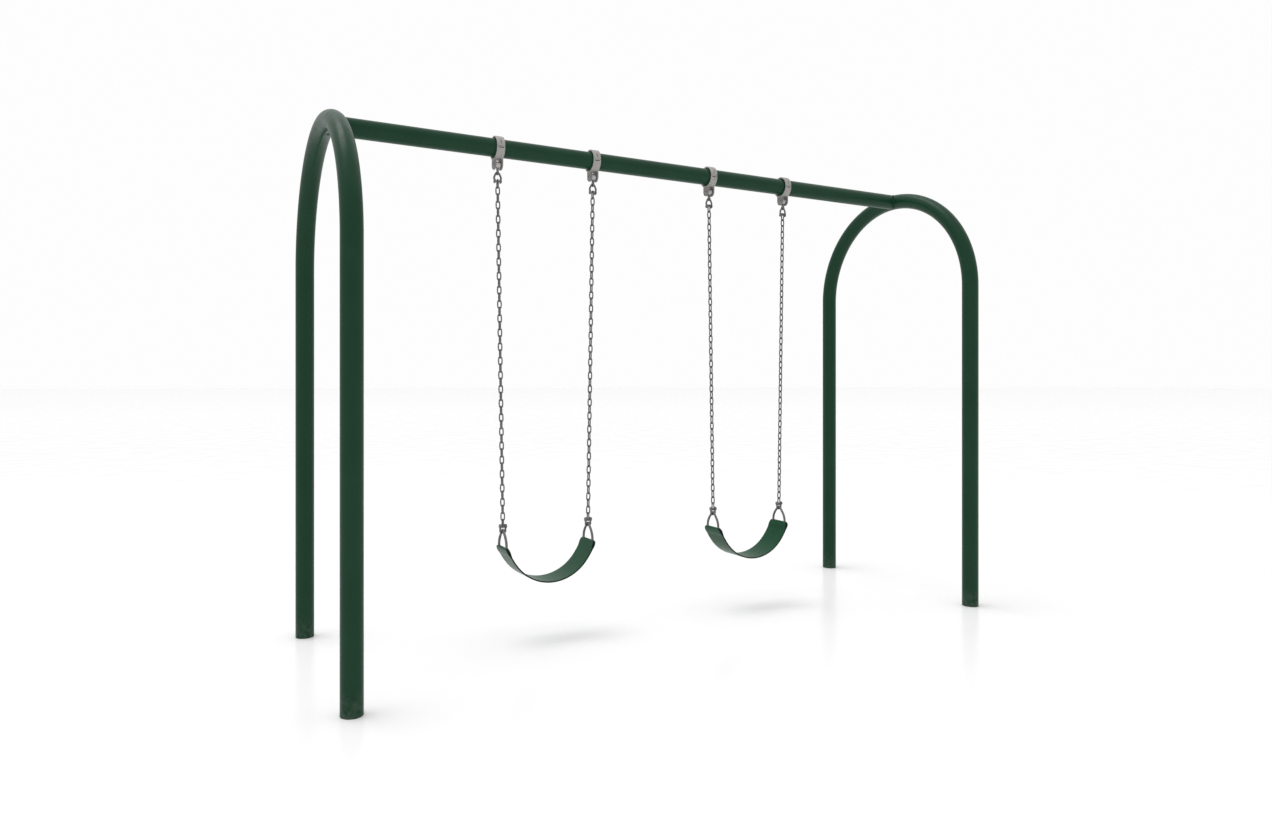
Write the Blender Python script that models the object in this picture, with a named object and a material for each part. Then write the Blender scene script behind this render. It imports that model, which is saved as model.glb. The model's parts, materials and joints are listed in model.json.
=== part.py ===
"""Arch-post swing set with two belt seats on chains.

Frame: the origin is on the ground at the middle of the frame, +X runs along the top rail,
+Y from front to back and +Z up.  Every piece is one closed solid in its own object.
"""

import bmesh
import bpy
import numpy as np
from math import atan2, cos, degrees, pi, radians, sin
from mathutils import Matrix, Vector

# ---- overall sizes -------------------------------------------------------------------------------
ARCH_SPACING = 3.453          # between the planes of the two arches
LEG_SPREAD = 1.166            # between the leg centres of one arch
RAIL_HEIGHT = 2.416           # ground to the centre of the top rail
PIPE_OD = 0.0889
PIPE_WALL = 0.0055

SWING_CENTRES = (-0.6610, 0.5800)   # where each swing hangs along the rail
HANGER_SPREAD = 0.5195        # between the two hangers of one swing
SEAT_SPREAD = 0.4640          # between the lower pins of one swing
LOWER_PIN_HEIGHT = 0.5735

# ---- clearances ----------------------------------------------------------------------------------
GAP = 0.0003                  # between pieces that touch
RAIL_END_INSET = 0.008        # rail ends stop this far short of the arch centre plane
SPIGOT_LENGTH = 0.160
SPIGOT_WALL = 0.0045

# ---- pipe clamp of each hanger -------------------------------------------------------------------
CLAMP_WIDTH = 0.042
CLAMP_SIDE_WALL = 0.0085      # metal in front of and behind the pipe
CLAMP_TOP_WALL = 0.0130
FLARE_DEPTH = 0.0090          # the bore's mouths open outwards over this length
FLARE_RISE = 0.0060
YOKE_STRAIGHT = 0.0060        # the yoke's sides run straight down this far, then round under
YOKE_FILLET = 0.0060          # between the yoke's round side and its cheeks
SADDLE_WALL = 0.0110          # metal between the pipe and the pocket
CHEEK_WALL = 0.0070
LOBE_RADIUS = 0.0250          # round lower end of the cheeks
PIVOT_DROP = 0.0815           # rail centre to the pivot bolt
MARK_DROP = 0.0072            # cast slot in the clamp's side, below the rail centre
MARK_LENGTH = 0.027
MARK_HEIGHT = 0.0040
MARK_DEPTH = 0.0010

SCREW_RADIUS = 0.0025
SCREW_HEAD_RADIUS = 0.0042
SCREW_HEAD_HEIGHT = 0.0045
SCREW_SEAT_RISE = 0.012       # screw head's seat above the rail centre
SCREW_REACH = 0.010           # screw's end below the rail centre

# ---- pivot and pendulum --------------------------------------------------------------------------
BOLT_RADIUS = 0.0060
BOLT_HEAD_RADIUS = 0.0095
BOLT_HEAD_HEIGHT = 0.0022
BUSH_WALL = 0.0035
HUB_RADIUS = 0.0160
SHANK_WIDTH = 0.0090          # along the rail
SHANK_DEPTH = 0.0100          # across the rail
EYE_DROP = 0.0380             # pivot bolt to the middle of the pendulum's eye
EYE_HOLE_RADIUS = 0.0070
EYE_RADIUS = 0.0125
EYE_THICKNESS = 0.0065

# ---- shackles ------------------------------------------------------------------------------------
UPPER_WIRE_RADIUS = 0.0050
UPPER_BOW_RADIUS = 0.0110
BOW_PLAY = 0.0006             # between the bow and the hole's rim, so that the bow can slide round
UPPER_SHOULDER = 0.0178       # half width of the bow at its widest, on the wire's centre
UPPER_SIDE = ((0.76, 0.07), (0.92, 0.30), (1.0, 0.54))   # shares of the shoulder and of the pin's drop
UPPER_PIN_DROP = 0.0297       # bow centre to the pin
UPPER_PIN_RADIUS = 0.0045
UPPER_HEAD_RADIUS = 0.0058
UPPER_HEAD_HEIGHT = 0.0030
UPPER_EAR_OFFSET = 0.0150
UPPER_EAR_RADIUS = 0.0110
UPPER_EAR_THICKNESS = 0.0065
LOWER_WIRE_RADIUS = 0.0050
LOWER_PIN_RADIUS = 0.0040
LOWER_HEAD_RADIUS = 0.0064
LOWER_HEAD_HEIGHT = 0.0025
LOWER_EAR_OFFSET = 0.0135
LOWER_EAR_RADIUS = 0.0105
LOWER_EAR_THICKNESS = 0.0104
LOWER_CORNER_RADIUS = 0.0080  # the wire's centre at the foot of the bow
LOWER_PLAY = 0.0018           # between the last link and the triangle's apex
PIN_TAIL = 0.0014

# ---- chain ---------------------------------------------------------------------------------------
CHAIN_WIRE = 0.0068
LINK_WIDTH = 0.0250
LINKS = 49
LINK_HALF_BROAD = 0.0108      # the chain's solid narrows and widens once for each link
LINK_HALF_THIN = 0.0013
LINK_END_TAPER = 0.0070       # the end links' solid narrows over this length
LINK_TIP_SHARE = 0.22         # its half width at the very end, over the link's width

# ---- seat triangle -------------------------------------------------------------------------------
TRIANGLE_WIRE_RADIUS = 0.0064
TRIANGLE_WIDTH = 0.1020       # between the wire's centres at the widest
TRIANGLE_APEX_RADIUS = 0.0120
TRIANGLE_APEX_TURN = 48.0     # degrees that the wire turns each side of its apex
TRIANGLE_LEG = ((0.66, 0.34), (0.92, 0.60))   # shares of the half width and of the drop
TRIANGLE_CORNER_RADIUS = 0.0130

# ---- belt seat -----------------------------------------------------------------------------------
BELT_WIDTH = 0.1590
BELT_THICKNESS = 0.0068
BELT_END_THICKNESS = 0.0160
BELT_CORNER_RADIUS = 0.0250
BELT_LOW_Z = 0.2884           # underside of the belt at its lowest
BELT_ARCS = ((0.2338, 51.0), (0.3332, 75.0))   # radius, and the slope where that arc ends
BELT_HALF_SPAN = 0.2360       # seat centre to the belt's end, on its mid surface
BAR_INSET = 0.0105            # belt's end to the triangle's bar inside it
BELT_END_LENGTH = 0.0240      # length at full end thickness
BELT_TAPER = 0.0300
BELT_NOSE_SHARE = 0.35        # thickness left at the very end
MOULD_GAP = 0.0004

# ---- mesh fineness -------------------------------------------------------------------------------
RAIL_SIDES = 24
ARCH_SIDES = 16
ARCH_STEPS = 18
WIRE_SIDES = 8
ROUND_SIDES = 12
PIN_SIDES = 10
SCREW_SIDES = 8

COLOURS = {
    "powder_coat": ((0.013, 0.046, 0.026), 0.42, 0.0),
    "clamp_casting": ((0.31, 0.30, 0.29), 0.50, 0.6),
    "fastener": ((0.42, 0.42, 0.41), 0.38, 0.9),
    "bronze": ((0.42, 0.27, 0.10), 0.40, 1.0),
    "galvanised": ((0.27, 0.27, 0.27), 0.42, 0.9),
    "belt_rubber": ((0.018, 0.075, 0.040), 0.55, 0.0),
}

pipe_radius = PIPE_OD / 2
arch_radius = LEG_SPREAD / 2
pivot_height = RAIL_HEIGHT - PIVOT_DROP
bow_inside = UPPER_BOW_RADIUS - UPPER_WIRE_RADIUS
bow_drop = bow_inside - (bow_inside ** 2 - (EYE_THICKNESS / 2) ** 2) ** 0.5
bow_pinch = EYE_HOLE_RADIUS - UPPER_WIRE_RADIUS - bow_drop - BOW_PLAY
bow_centre_height = pivot_height - EYE_DROP - bow_pinch - UPPER_BOW_RADIUS
apex_below_pin = LOWER_PIN_RADIUS + CHAIN_WIRE + LOWER_PLAY + TRIANGLE_WIRE_RADIUS
lower_bow_drop = apex_below_pin + TRIANGLE_WIRE_RADIUS + GAP + LOWER_WIRE_RADIUS
chain_lean = atan2((HANGER_SPREAD - SEAT_SPREAD) / 2, bow_centre_height - LOWER_PIN_HEIGHT)
chain_length = (bow_centre_height - LOWER_PIN_HEIGHT) / cos(chain_lean) - UPPER_PIN_DROP


# ---- helpers -------------------------------------------------------------------------------------
def material(name):
    made = bpy.data.materials.get(name)
    if made:
        return made
    colour, roughness, metallic = COLOURS[name]
    made = bpy.data.materials.new(name)
    made.use_nodes = True
    shader = made.node_tree.nodes["Principled BSDF"]
    shader.inputs["Base Color"].default_value = (*colour, 1.0)
    shader.inputs["Roughness"].default_value = roughness
    shader.inputs["Metallic"].default_value = metallic
    made.diffuse_color = (*colour, 1.0)
    return made


def object_of(name, bm, slot, parent=None, smooth=True):
    """Make an object from a bmesh, placed in its parent's own frame."""
    bmesh.ops.recalc_face_normals(bm, faces=bm.faces)
    mesh = bpy.data.meshes.new(name)
    bm.to_mesh(mesh)
    bm.free()
    if smooth:
        mesh.shade_smooth()
        mesh.set_sharp_from_angle(angle=radians(35))
    made = bpy.data.objects.new(name, mesh)
    made.data.materials.append(material(slot))
    bpy.context.collection.objects.link(made)
    made.parent = parent
    return made


def cutter_of(name, bm, parent=None):
    made = object_of(name, bm, "fastener", parent, smooth=False)
    made.hide_render = True
    made.display_type = "WIRE"
    return made


def boolean(target, other, operation):
    step = target.modifiers.new(f"{operation.lower()}_{other.name}", "BOOLEAN")
    step.operation = operation
    step.solver = "EXACT"
    step.object = other


def axis_empty(name, location, parent=None, lean=0.0):
    made = bpy.data.objects.new(name, None)
    made.empty_display_size = 0.05
    made.location = location
    made.rotation_euler = (0.0, lean, 0.0)
    made.parent = parent
    bpy.context.collection.objects.link(made)
    return made


def ring_faces(bm, lower, upper):
    count = len(lower)
    for i in range(count):
        j = (i + 1) % count
        bm.faces.new((lower[i], lower[j], upper[j], upper[i]))


def section_rings(bm, path, radius, sides, closed):
    """Rings of vertices square to a planar or straight path."""
    rings = []
    count = len(path)
    for i, point in enumerate(path):
        before = path[i - 1] if closed or i else path[0]
        after = path[(i + 1) % count] if closed or i < count - 1 else path[-1]
        along = (after - before).normalized()
        normal = plane_normal(path)
        side = along.cross(normal).normalized()
        turns = (2 * pi * k / sides for k in range(sides))
        spokes = (cos(t) * normal + sin(t) * side for t in turns)
        rings.append([bm.verts.new(point + radius * spoke) for spoke in spokes])
    return rings


def plane_normal(path):
    """Normal of the plane that a path lies in; +Y or +Z for a straight one."""
    start = path[0]
    longest = Vector((0, 0, 0))
    for point in path[1:-1]:
        across = (point - start).cross(path[-1] - start)
        if across.length > longest.length:
            longest = across
    for point in path[1:]:
        across = (path[1] - start).cross(point - start)
        if across.length > longest.length:
            longest = across
    if longest.length > 1e-9:
        return longest.normalized()
    along = (path[-1] - start).normalized()
    return Vector((0, 1, 0)) if abs(along.y) < 0.5 else Vector((0, 0, 1))


def wire(bm, path, radius, sides=WIRE_SIDES, closed=False):
    rings = section_rings(bm, path, radius, sides, closed)
    for lower, upper in zip(rings, rings[1:]):
        ring_faces(bm, lower, upper)
    if closed:
        ring_faces(bm, rings[-1], rings[0])
    else:
        bm.faces.new(rings[0])
        bm.faces.new(list(reversed(rings[-1])))


def hollow_pipe(bm, path, outer, inner, sides):
    """A pipe with both its ends open."""
    outside = section_rings(bm, path, outer, sides, False)
    inside = section_rings(bm, path, inner, sides, False)
    for lower, upper in zip(outside, outside[1:]):
        ring_faces(bm, lower, upper)
    for lower, upper in zip(inside, inside[1:]):
        ring_faces(bm, lower, upper)
    ring_faces(bm, outside[0], inside[0])
    ring_faces(bm, outside[-1], inside[-1])


def round_bar(bm, start, end, radius, sides=ROUND_SIDES):
    wire(bm, [Vector(start), Vector(end)], radius, sides)


def turned(bm, profile, sides=ROUND_SIDES):
    """A solid turned about X from (x, radius) pairs."""
    rings = []
    for x, radius in profile:
        turns = (2 * pi * k / sides for k in range(sides))
        rings.append([bm.verts.new((x, radius * cos(t), radius * sin(t))) for t in turns])
    for lower, upper in zip(rings, rings[1:]):
        ring_faces(bm, lower, upper)
    bm.faces.new(rings[0])
    bm.faces.new(list(reversed(rings[-1])))


def slab(bm, outline, low, high):
    """Extrude a closed (y, z) outline from low to high along X."""
    bottom = [bm.verts.new((low, y, z)) for y, z in outline]
    top = [bm.verts.new((high, y, z)) for y, z in outline]
    ring_faces(bm, bottom, top)
    bm.faces.new(bottom)
    bm.faces.new(list(reversed(top)))


def box(bm, low, high):
    outline = [(low[1], low[2]), (high[1], low[2]), (high[1], high[2]), (low[1], high[2])]
    slab(bm, outline, low[0], high[0])


def arc(centre, radius, start, end, steps):
    """Points of a 2-D arc, angles in degrees from the first axis."""
    angles = (radians(start + (end - start) * k / steps) for k in range(steps + 1))
    return [(centre[0] + radius * cos(a), centre[1] + radius * sin(a)) for a in angles]


def mirrored(half):
    """A closed outline from its right half, listed from bottom middle to top middle."""
    return half + [(-u, v) for u, v in reversed(half) if abs(u) > 1e-9]


# ---- frame ---------------------------------------------------------------------------------------
def arch_path(x):
    spring = RAIL_HEIGHT - arch_radius
    steps = [pi * k / ARCH_STEPS for k in range(ARCH_STEPS + 1)]
    bend = [Vector((x, -arch_radius * cos(a), spring + arch_radius * sin(a))) for a in steps]
    return [Vector((x, -arch_radius, 0.0)), *bend, Vector((x, arch_radius, 0.0))]


def make_arch(name, x):
    bm = bmesh.new()
    hollow_pipe(bm, arch_path(x), pipe_radius, pipe_radius - PIPE_WALL, ARCH_SIDES)
    return object_of(name, bm, "powder_coat")


def arch_cutter(name, x):
    bm = bmesh.new()
    wire(bm, arch_path(x), pipe_radius + GAP, ARCH_SIDES)
    return cutter_of(name, bm)


def make_rail(cutters):
    reach = ARCH_SPACING / 2 - RAIL_END_INSET
    bm = bmesh.new()
    path = [Vector((-reach, 0, RAIL_HEIGHT)), Vector((reach, 0, RAIL_HEIGHT))]
    hollow_pipe(bm, path, pipe_radius, pipe_radius - PIPE_WALL, RAIL_SIDES)
    rail = object_of("top_rail", bm, "powder_coat")
    for cutter in cutters:
        boolean(rail, cutter, "DIFFERENCE")


def make_spigot(name, side, cutter):
    outer = pipe_radius - PIPE_WALL - GAP
    near = side * (ARCH_SPACING / 2 - RAIL_END_INSET)
    far = side * (ARCH_SPACING / 2 - pipe_radius - SPIGOT_LENGTH)
    bm = bmesh.new()
    path = [Vector((min(near, far), 0, RAIL_HEIGHT)), Vector((max(near, far), 0, RAIL_HEIGHT))]
    hollow_pipe(bm, path, outer, outer - SPIGOT_WALL, ROUND_SIDES)
    boolean(object_of(name, bm, "fastener"), cutter, "DIFFERENCE")


# ---- hanger --------------------------------------------------------------------------------------
# Clamp pieces are drawn with the rail's centre at (0, 0) of the (y, z) outline.
clamp_side = pipe_radius + CLAMP_SIDE_WALL
clamp_crown = pipe_radius + CLAMP_TOP_WALL - clamp_side
screw_offset = pipe_radius + CLAMP_SIDE_WALL / 2 + GAP


def rail_bore(bm):
    """The bore round the rail, with mouths that flare out to the clamp's faces and past them."""
    bore, face = pipe_radius + GAP, CLAMP_WIDTH / 2
    ends = ((face * 2, bore + FLARE_RISE * (1 + face / FLARE_DEPTH)), (face - FLARE_DEPTH, bore))
    turned(bm, [(-x, radius) for x, radius in ends] + list(reversed(ends)), RAIL_SIDES)


def make_cap(tag, at):
    half = [(0.0, GAP), (clamp_side, GAP), *arc((0, clamp_crown), clamp_side, 0, 90, 7)]
    half[-1] = (0.0, half[-1][1])
    bm = bmesh.new()
    slab(bm, mirrored(half), -CLAMP_WIDTH / 2, CLAMP_WIDTH / 2)
    cap = object_of(f"clamp_cap_{tag}", bm, "clamp_casting", at)
    bm = bmesh.new()
    rail_bore(bm)
    boolean(cap, cutter_of(f"cap_bore_{tag}", bm, at), "DIFFERENCE")
    for side in (-1, 1):
        bm = bmesh.new()
        upright(bm, side * screw_offset, -SCREW_REACH, SCREW_SEAT_RISE + GAP, SCREW_RADIUS + GAP)
        boolean(cap, cutter_of(f"cap_hole_{side}_{tag}", bm, at), "DIFFERENCE")
        bm = bmesh.new()
        upright(bm, side * screw_offset, SCREW_SEAT_RISE, pipe_radius * 2, SCREW_HEAD_RADIUS + GAP)
        boolean(cap, cutter_of(f"cap_counterbore_{side}_{tag}", bm, at), "DIFFERENCE")


def upright(bm, y, low, high, radius):
    wire(bm, [Vector((0, y, low)), Vector((0, y, high))], radius, SCREW_SIDES)


def yoke_outline():
    """Straight sides that round under, fillets, and the lobe at the lower end of the cheeks."""
    turns = np.linspace(0, pi / 2, 6)
    lobe = [(LOBE_RADIUS * sin(a), -PIVOT_DROP - LOBE_RADIUS * cos(a)) for a in turns]
    across = LOBE_RADIUS + YOKE_FILLET
    down = ((clamp_side + YOKE_FILLET) ** 2 - across ** 2) ** 0.5
    turn = degrees(atan2(down, across))
    fillet = arc((across, -YOKE_STRAIGHT - down), YOKE_FILLET, 180, 180 - turn, 3)
    side = arc((0, -YOKE_STRAIGHT), clamp_side, -turn, 0, 6)
    return mirrored([(0.0, lobe[0][1]), *lobe[1:], *fillet, *side[1:], (clamp_side, 0.0), (0.0, 0.0)])


def make_yoke(tag, at):
    bm = bmesh.new()
    slab(bm, yoke_outline(), -CLAMP_WIDTH / 2, CLAMP_WIDTH / 2)
    yoke = object_of(f"clamp_yoke_{tag}", bm, "clamp_casting", at)
    bm = bmesh.new()
    rail_bore(bm)
    boolean(yoke, cutter_of(f"yoke_bore_{tag}", bm, at), "DIFFERENCE")
    pocket = CLAMP_WIDTH / 2 - CHEEK_WALL
    low = (-pocket, -clamp_side * 2, -PIVOT_DROP * 2)
    high = (pocket, clamp_side * 2, -pipe_radius - SADDLE_WALL)
    bm = bmesh.new()
    box(bm, low, high)
    boolean(yoke, cutter_of(f"yoke_pocket_{tag}", bm, at), "DIFFERENCE")
    low = (-MARK_LENGTH / 2, clamp_side - MARK_DEPTH, -MARK_DROP - MARK_HEIGHT / 2)
    high = (MARK_LENGTH / 2, clamp_side * 2, -MARK_DROP + MARK_HEIGHT / 2)
    bm = bmesh.new()
    box(bm, low, high)
    box(bm, (low[0], -high[1], low[2]), (high[0], -low[1], high[2]))
    boolean(yoke, cutter_of(f"yoke_mark_{tag}", bm, at), "DIFFERENCE")
    for side in (-1, 1):
        bm = bmesh.new()
        upright(bm, side * screw_offset, -SCREW_REACH - 2 * GAP, SCREW_SEAT_RISE, SCREW_RADIUS + GAP)
        boolean(yoke, cutter_of(f"yoke_hole_{side}_{tag}", bm, at), "DIFFERENCE")
    bm = bmesh.new()
    round_bar(bm, (-CLAMP_WIDTH, 0, -PIVOT_DROP), (CLAMP_WIDTH, 0, -PIVOT_DROP), BOLT_RADIUS + GAP)
    boolean(yoke, cutter_of(f"yoke_pivot_{tag}", bm, at), "DIFFERENCE")


def make_screw(name, at, side):
    seat = SCREW_SEAT_RISE + GAP
    profile = [
        (-SCREW_REACH, SCREW_RADIUS),
        (seat, SCREW_RADIUS),
        (seat, SCREW_HEAD_RADIUS),
        (seat + SCREW_HEAD_HEIGHT, SCREW_HEAD_RADIUS),
    ]
    bm = bmesh.new()
    turned(bm, profile, SCREW_SIDES)
    bmesh.ops.rotate(bm, verts=bm.verts, matrix=Matrix.Rotation(-pi / 2, 3, "Y"))
    bmesh.ops.translate(bm, verts=bm.verts, vec=(0, side * screw_offset, 0))
    object_of(name, bm, "fastener", at)


def make_pivot_bolt(tag, at):
    face = CLAMP_WIDTH / 2 + GAP
    profile = [
        (-face - BOLT_HEAD_HEIGHT, BOLT_HEAD_RADIUS * 0.7),
        (-face - BOLT_HEAD_HEIGHT * 0.4, BOLT_HEAD_RADIUS),
        (-face, BOLT_HEAD_RADIUS),
        (-face, BOLT_RADIUS),
        (face, BOLT_RADIUS),
        (face, BOLT_HEAD_RADIUS),
        (face + BOLT_HEAD_HEIGHT * 0.4, BOLT_HEAD_RADIUS),
        (face + BOLT_HEAD_HEIGHT, BOLT_HEAD_RADIUS * 0.7),
    ]
    bm = bmesh.new()
    turned(bm, profile)
    object_of(f"pivot_bolt_{tag}", bm, "fastener", at)


hub_half = CLAMP_WIDTH / 2 - CHEEK_WALL - GAP
bush_outer = BOLT_RADIUS + GAP + BUSH_WALL


def make_bush(tag, at):
    bm = bmesh.new()
    path = [Vector((-hub_half, 0, 0)), Vector((hub_half, 0, 0))]
    hollow_pipe(bm, path, bush_outer, BOLT_RADIUS + GAP, ROUND_SIDES)
    object_of(f"pivot_bush_{tag}", bm, "bronze", at)


def make_pendulum(tag, at):
    bm = bmesh.new()
    round_bar(bm, (-hub_half, 0, 0), (hub_half, 0, 0), HUB_RADIUS, 16)
    pendulum = object_of(f"pendulum_{tag}", bm, "galvanised", at)
    bm = bmesh.new()
    half = SHANK_DEPTH / 2
    foot_z = -EYE_DROP + EYE_RADIUS * 0.8
    outline = [(-2 * half, -HUB_RADIUS / 2), (-half, foot_z), (half, foot_z), (2 * half, -HUB_RADIUS / 2)]
    slab(bm, outline, -SHANK_WIDTH / 2, SHANK_WIDTH / 2)
    boolean(pendulum, cutter_of(f"pendulum_shank_{tag}", bm, at), "UNION")
    bm = bmesh.new()
    eye_half = EYE_THICKNESS / 2
    round_bar(bm, (-eye_half, 0, -EYE_DROP), (eye_half, 0, -EYE_DROP), EYE_RADIUS)
    boolean(pendulum, cutter_of(f"pendulum_eye_{tag}", bm, at), "UNION")
    bm = bmesh.new()
    round_bar(bm, (-CLAMP_WIDTH, 0, -EYE_DROP), (CLAMP_WIDTH, 0, -EYE_DROP), EYE_HOLE_RADIUS)
    boolean(pendulum, cutter_of(f"pendulum_hole_{tag}", bm, at), "DIFFERENCE")
    bm = bmesh.new()
    round_bar(bm, (-CLAMP_WIDTH, 0, 0), (CLAMP_WIDTH, 0, 0), bush_outer + GAP)
    boolean(pendulum, cutter_of(f"pendulum_bore_{tag}", bm, at), "DIFFERENCE")


# ---- shackles ------------------------------------------------------------------------------------
def add_ears(shackle, at, tag, offset, thickness, radius, pin_radius, pin_z):
    for side in (-1, 1):
        low, high = side * offset - thickness / 2, side * offset + thickness / 2
        bm = bmesh.new()
        round_bar(bm, (low, 0, pin_z), (high, 0, pin_z), radius)
        boolean(shackle, cutter_of(f"ear_{side}_{tag}", bm, at), "UNION")
    bm = bmesh.new()
    round_bar(bm, (-2 * offset, 0, pin_z), (2 * offset, 0, pin_z), pin_radius + GAP, PIN_SIDES)
    boolean(shackle, cutter_of(f"ear_hole_{tag}", bm, at), "DIFFERENCE")


def bent_wire(half, radius):
    """A wire through the (x, z) points of its right half and their mirror images."""
    route = [(-u, v) for u, v in reversed(half[1:])] + half
    bm = bmesh.new()
    wire(bm, [Vector((u, 0, v)) for u, v in route], radius)
    return bm


def make_upper_shackle(tag, at):
    """A bow shackle hanging from the pendulum's eye, drawn about the centre of its bow."""
    top = arc((0, 0), UPPER_BOW_RADIUS, 90, 34, 4)
    side = [(across * UPPER_SHOULDER, -down * UPPER_PIN_DROP) for across, down in UPPER_SIDE]
    ear_top = (UPPER_EAR_OFFSET + UPPER_WIRE_RADIUS / 10, UPPER_EAR_RADIUS * 0.75 - UPPER_PIN_DROP)
    bm = bent_wire([*top, *side, ear_top], UPPER_WIRE_RADIUS)
    shackle = object_of(f"upper_shackle_{tag}", bm, "galvanised", at)
    ear = (UPPER_EAR_OFFSET, UPPER_EAR_THICKNESS, UPPER_EAR_RADIUS, UPPER_PIN_RADIUS)
    add_ears(shackle, at, f"upper_{tag}", *ear, -UPPER_PIN_DROP)


def make_lower_shackle(tag, at):
    """A D shackle drawn about the axis of its pin, bow downwards."""
    corner_centre = (LOWER_EAR_OFFSET - LOWER_CORNER_RADIUS, LOWER_CORNER_RADIUS - lower_bow_drop)
    corner = arc(corner_centre, LOWER_CORNER_RADIUS, -90, 0, 3)
    half = [(0.0, -lower_bow_drop), *corner, (LOWER_EAR_OFFSET, -LOWER_EAR_RADIUS * 0.4)]
    bm = bent_wire(half, LOWER_WIRE_RADIUS)
    shackle = object_of(f"lower_shackle_{tag}", bm, "galvanised", at)
    ear = (LOWER_EAR_OFFSET, LOWER_EAR_THICKNESS, LOWER_EAR_RADIUS, LOWER_PIN_RADIUS)
    add_ears(shackle, at, f"lower_{tag}", *ear, 0.0)


def make_pin(name, at, radius, face, head_radius, head_height, z):
    """A pin with a head, from the outer faces of a shackle's ears."""
    profile = [
        (-face - PIN_TAIL, radius),
        (face, radius),
        (face, head_radius),
        (face + head_height * 0.75, head_radius),
        (face + head_height, head_radius * 0.8),
    ]
    bm = bmesh.new()
    turned(bm, profile, PIN_SIDES)
    bmesh.ops.translate(bm, verts=bm.verts, vec=(0, 0, z))
    object_of(name, bm, "fastener", at)


# ---- chain ---------------------------------------------------------------------------------------
def make_chain(tag, at):
    """The chain's outer shape as one bar that is broad each way in turn, with an eye at each end."""
    thick, broad, tip = CHAIN_WIRE / 2, LINK_WIDTH / 2, LINK_WIDTH * LINK_TIP_SHARE
    pitch = (chain_length + UPPER_PIN_RADIUS + LOWER_PIN_RADIUS) / LINKS
    top = UPPER_PIN_RADIUS + CHAIN_WIRE
    bottom = -chain_length - LOWER_PIN_RADIUS - CHAIN_WIRE
    first = UPPER_PIN_RADIUS - pitch / 2
    stations = [(top, thick, tip), (top - LINK_END_TAPER, thick, broad), (first, thick, broad)]
    for link in range(1, LINKS - 1):
        halves = (LINK_HALF_BROAD, LINK_HALF_THIN) if link % 2 else (LINK_HALF_THIN, LINK_HALF_BROAD)
        stations.append((first - link * pitch, *halves))
    stations.append((first - (LINKS - 1) * pitch, thick, broad))
    stations.append((bottom + LINK_END_TAPER, thick, broad))
    stations.append((bottom, thick, tip))
    bm = bmesh.new()
    rings = []
    for z, half_x, half_y in stations:
        corners = ((half_x, half_y), (-half_x, half_y), (-half_x, -half_y), (half_x, -half_y))
        rings.append([bm.verts.new((x, y, z - UPPER_PIN_DROP)) for x, y in corners])
    for lower, upper in zip(rings, rings[1:]):
        ring_faces(bm, lower, upper)
    bm.faces.new(rings[0])
    bm.faces.new(list(reversed(rings[-1])))
    chain = object_of(f"chain_{tag}", bm, "galvanised", at, smooth=False)
    for end, radius, z in (("top", UPPER_PIN_RADIUS, 0.0), ("foot", LOWER_PIN_RADIUS, -chain_length)):
        bm = bmesh.new()
        z = z - UPPER_PIN_DROP
        round_bar(bm, (-LINK_WIDTH, 0, z), (LINK_WIDTH, 0, z), radius + GAP, PIN_SIDES)
        boolean(chain, cutter_of(f"chain_{end}_{tag}", bm, at), "DIFFERENCE")


# ---- seat ----------------------------------------------------------------------------------------
def belt_mid(distance):
    """Point (x, z) and slope of the belt's mid surface, by distance from its lowest point."""
    x, z, slope, gone = 0.0, BELT_LOW_Z + BELT_THICKNESS / 2, 0.0, 0.0
    for radius, end_slope in BELT_ARCS:
        end = radians(end_slope)
        length = radius * (end - slope)
        reach = min(max(distance - gone, 0.0), length)
        turned_to = slope + reach / radius
        x += radius * (sin(turned_to) - sin(slope))
        z += radius * (cos(slope) - cos(turned_to))
        gone += length
        if distance <= gone:
            return x, z, turned_to
        slope = end
    rest = distance - gone
    return x + rest * cos(slope), z + rest * sin(slope), slope


def belt_half_length():
    """Distance along the belt at which its mid surface is BELT_HALF_SPAN from the middle."""
    low, high = 0.0, BELT_HALF_SPAN * 3
    for _ in range(60):
        middle = (low + high) / 2
        if belt_mid(middle)[0] < BELT_HALF_SPAN:
            low = middle
        else:
            high = middle
    return low


half_belt = belt_half_length()
bar_x, bar_z, end_slope_angle = belt_mid(half_belt - BAR_INSET)


def belt_stations():
    """Distances from the belt's middle: even steps round the arcs, finer at the round corners."""
    full = half_belt - BELT_END_LENGTH - BELT_TAPER
    inner = list(np.linspace(0, full, 9))
    outer = [half_belt - BELT_END_LENGTH - BELT_TAPER / 2, half_belt - BELT_CORNER_RADIUS]
    corner = [half_belt - BELT_CORNER_RADIUS * (1 - sin(a)) for a in np.linspace(0, pi / 2, 6)[1:]]
    half = inner + outer + corner
    return [-s for s in reversed(half[1:])] + half


def belt_half_thickness(distance):
    into_end = distance - (half_belt - BELT_END_LENGTH - BELT_TAPER)
    share = min(max(into_end / BELT_TAPER, 0.0), 1.0)
    eased = share * share * (3 - 2 * share)
    full = BELT_THICKNESS + (BELT_END_THICKNESS - BELT_THICKNESS) * eased
    nose = BELT_END_THICKNESS / 2
    past_end = max(distance - half_belt + nose, 0.0) / nose
    return full / 2 * max(1 - past_end ** 4, BELT_NOSE_SHARE)


def belt_half_width(distance):
    into_corner = max(distance - half_belt + BELT_CORNER_RADIUS, 0.0)
    lost = BELT_CORNER_RADIUS - (max(BELT_CORNER_RADIUS ** 2 - into_corner ** 2, 0.0)) ** 0.5
    return BELT_WIDTH / 2 - lost


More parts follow.
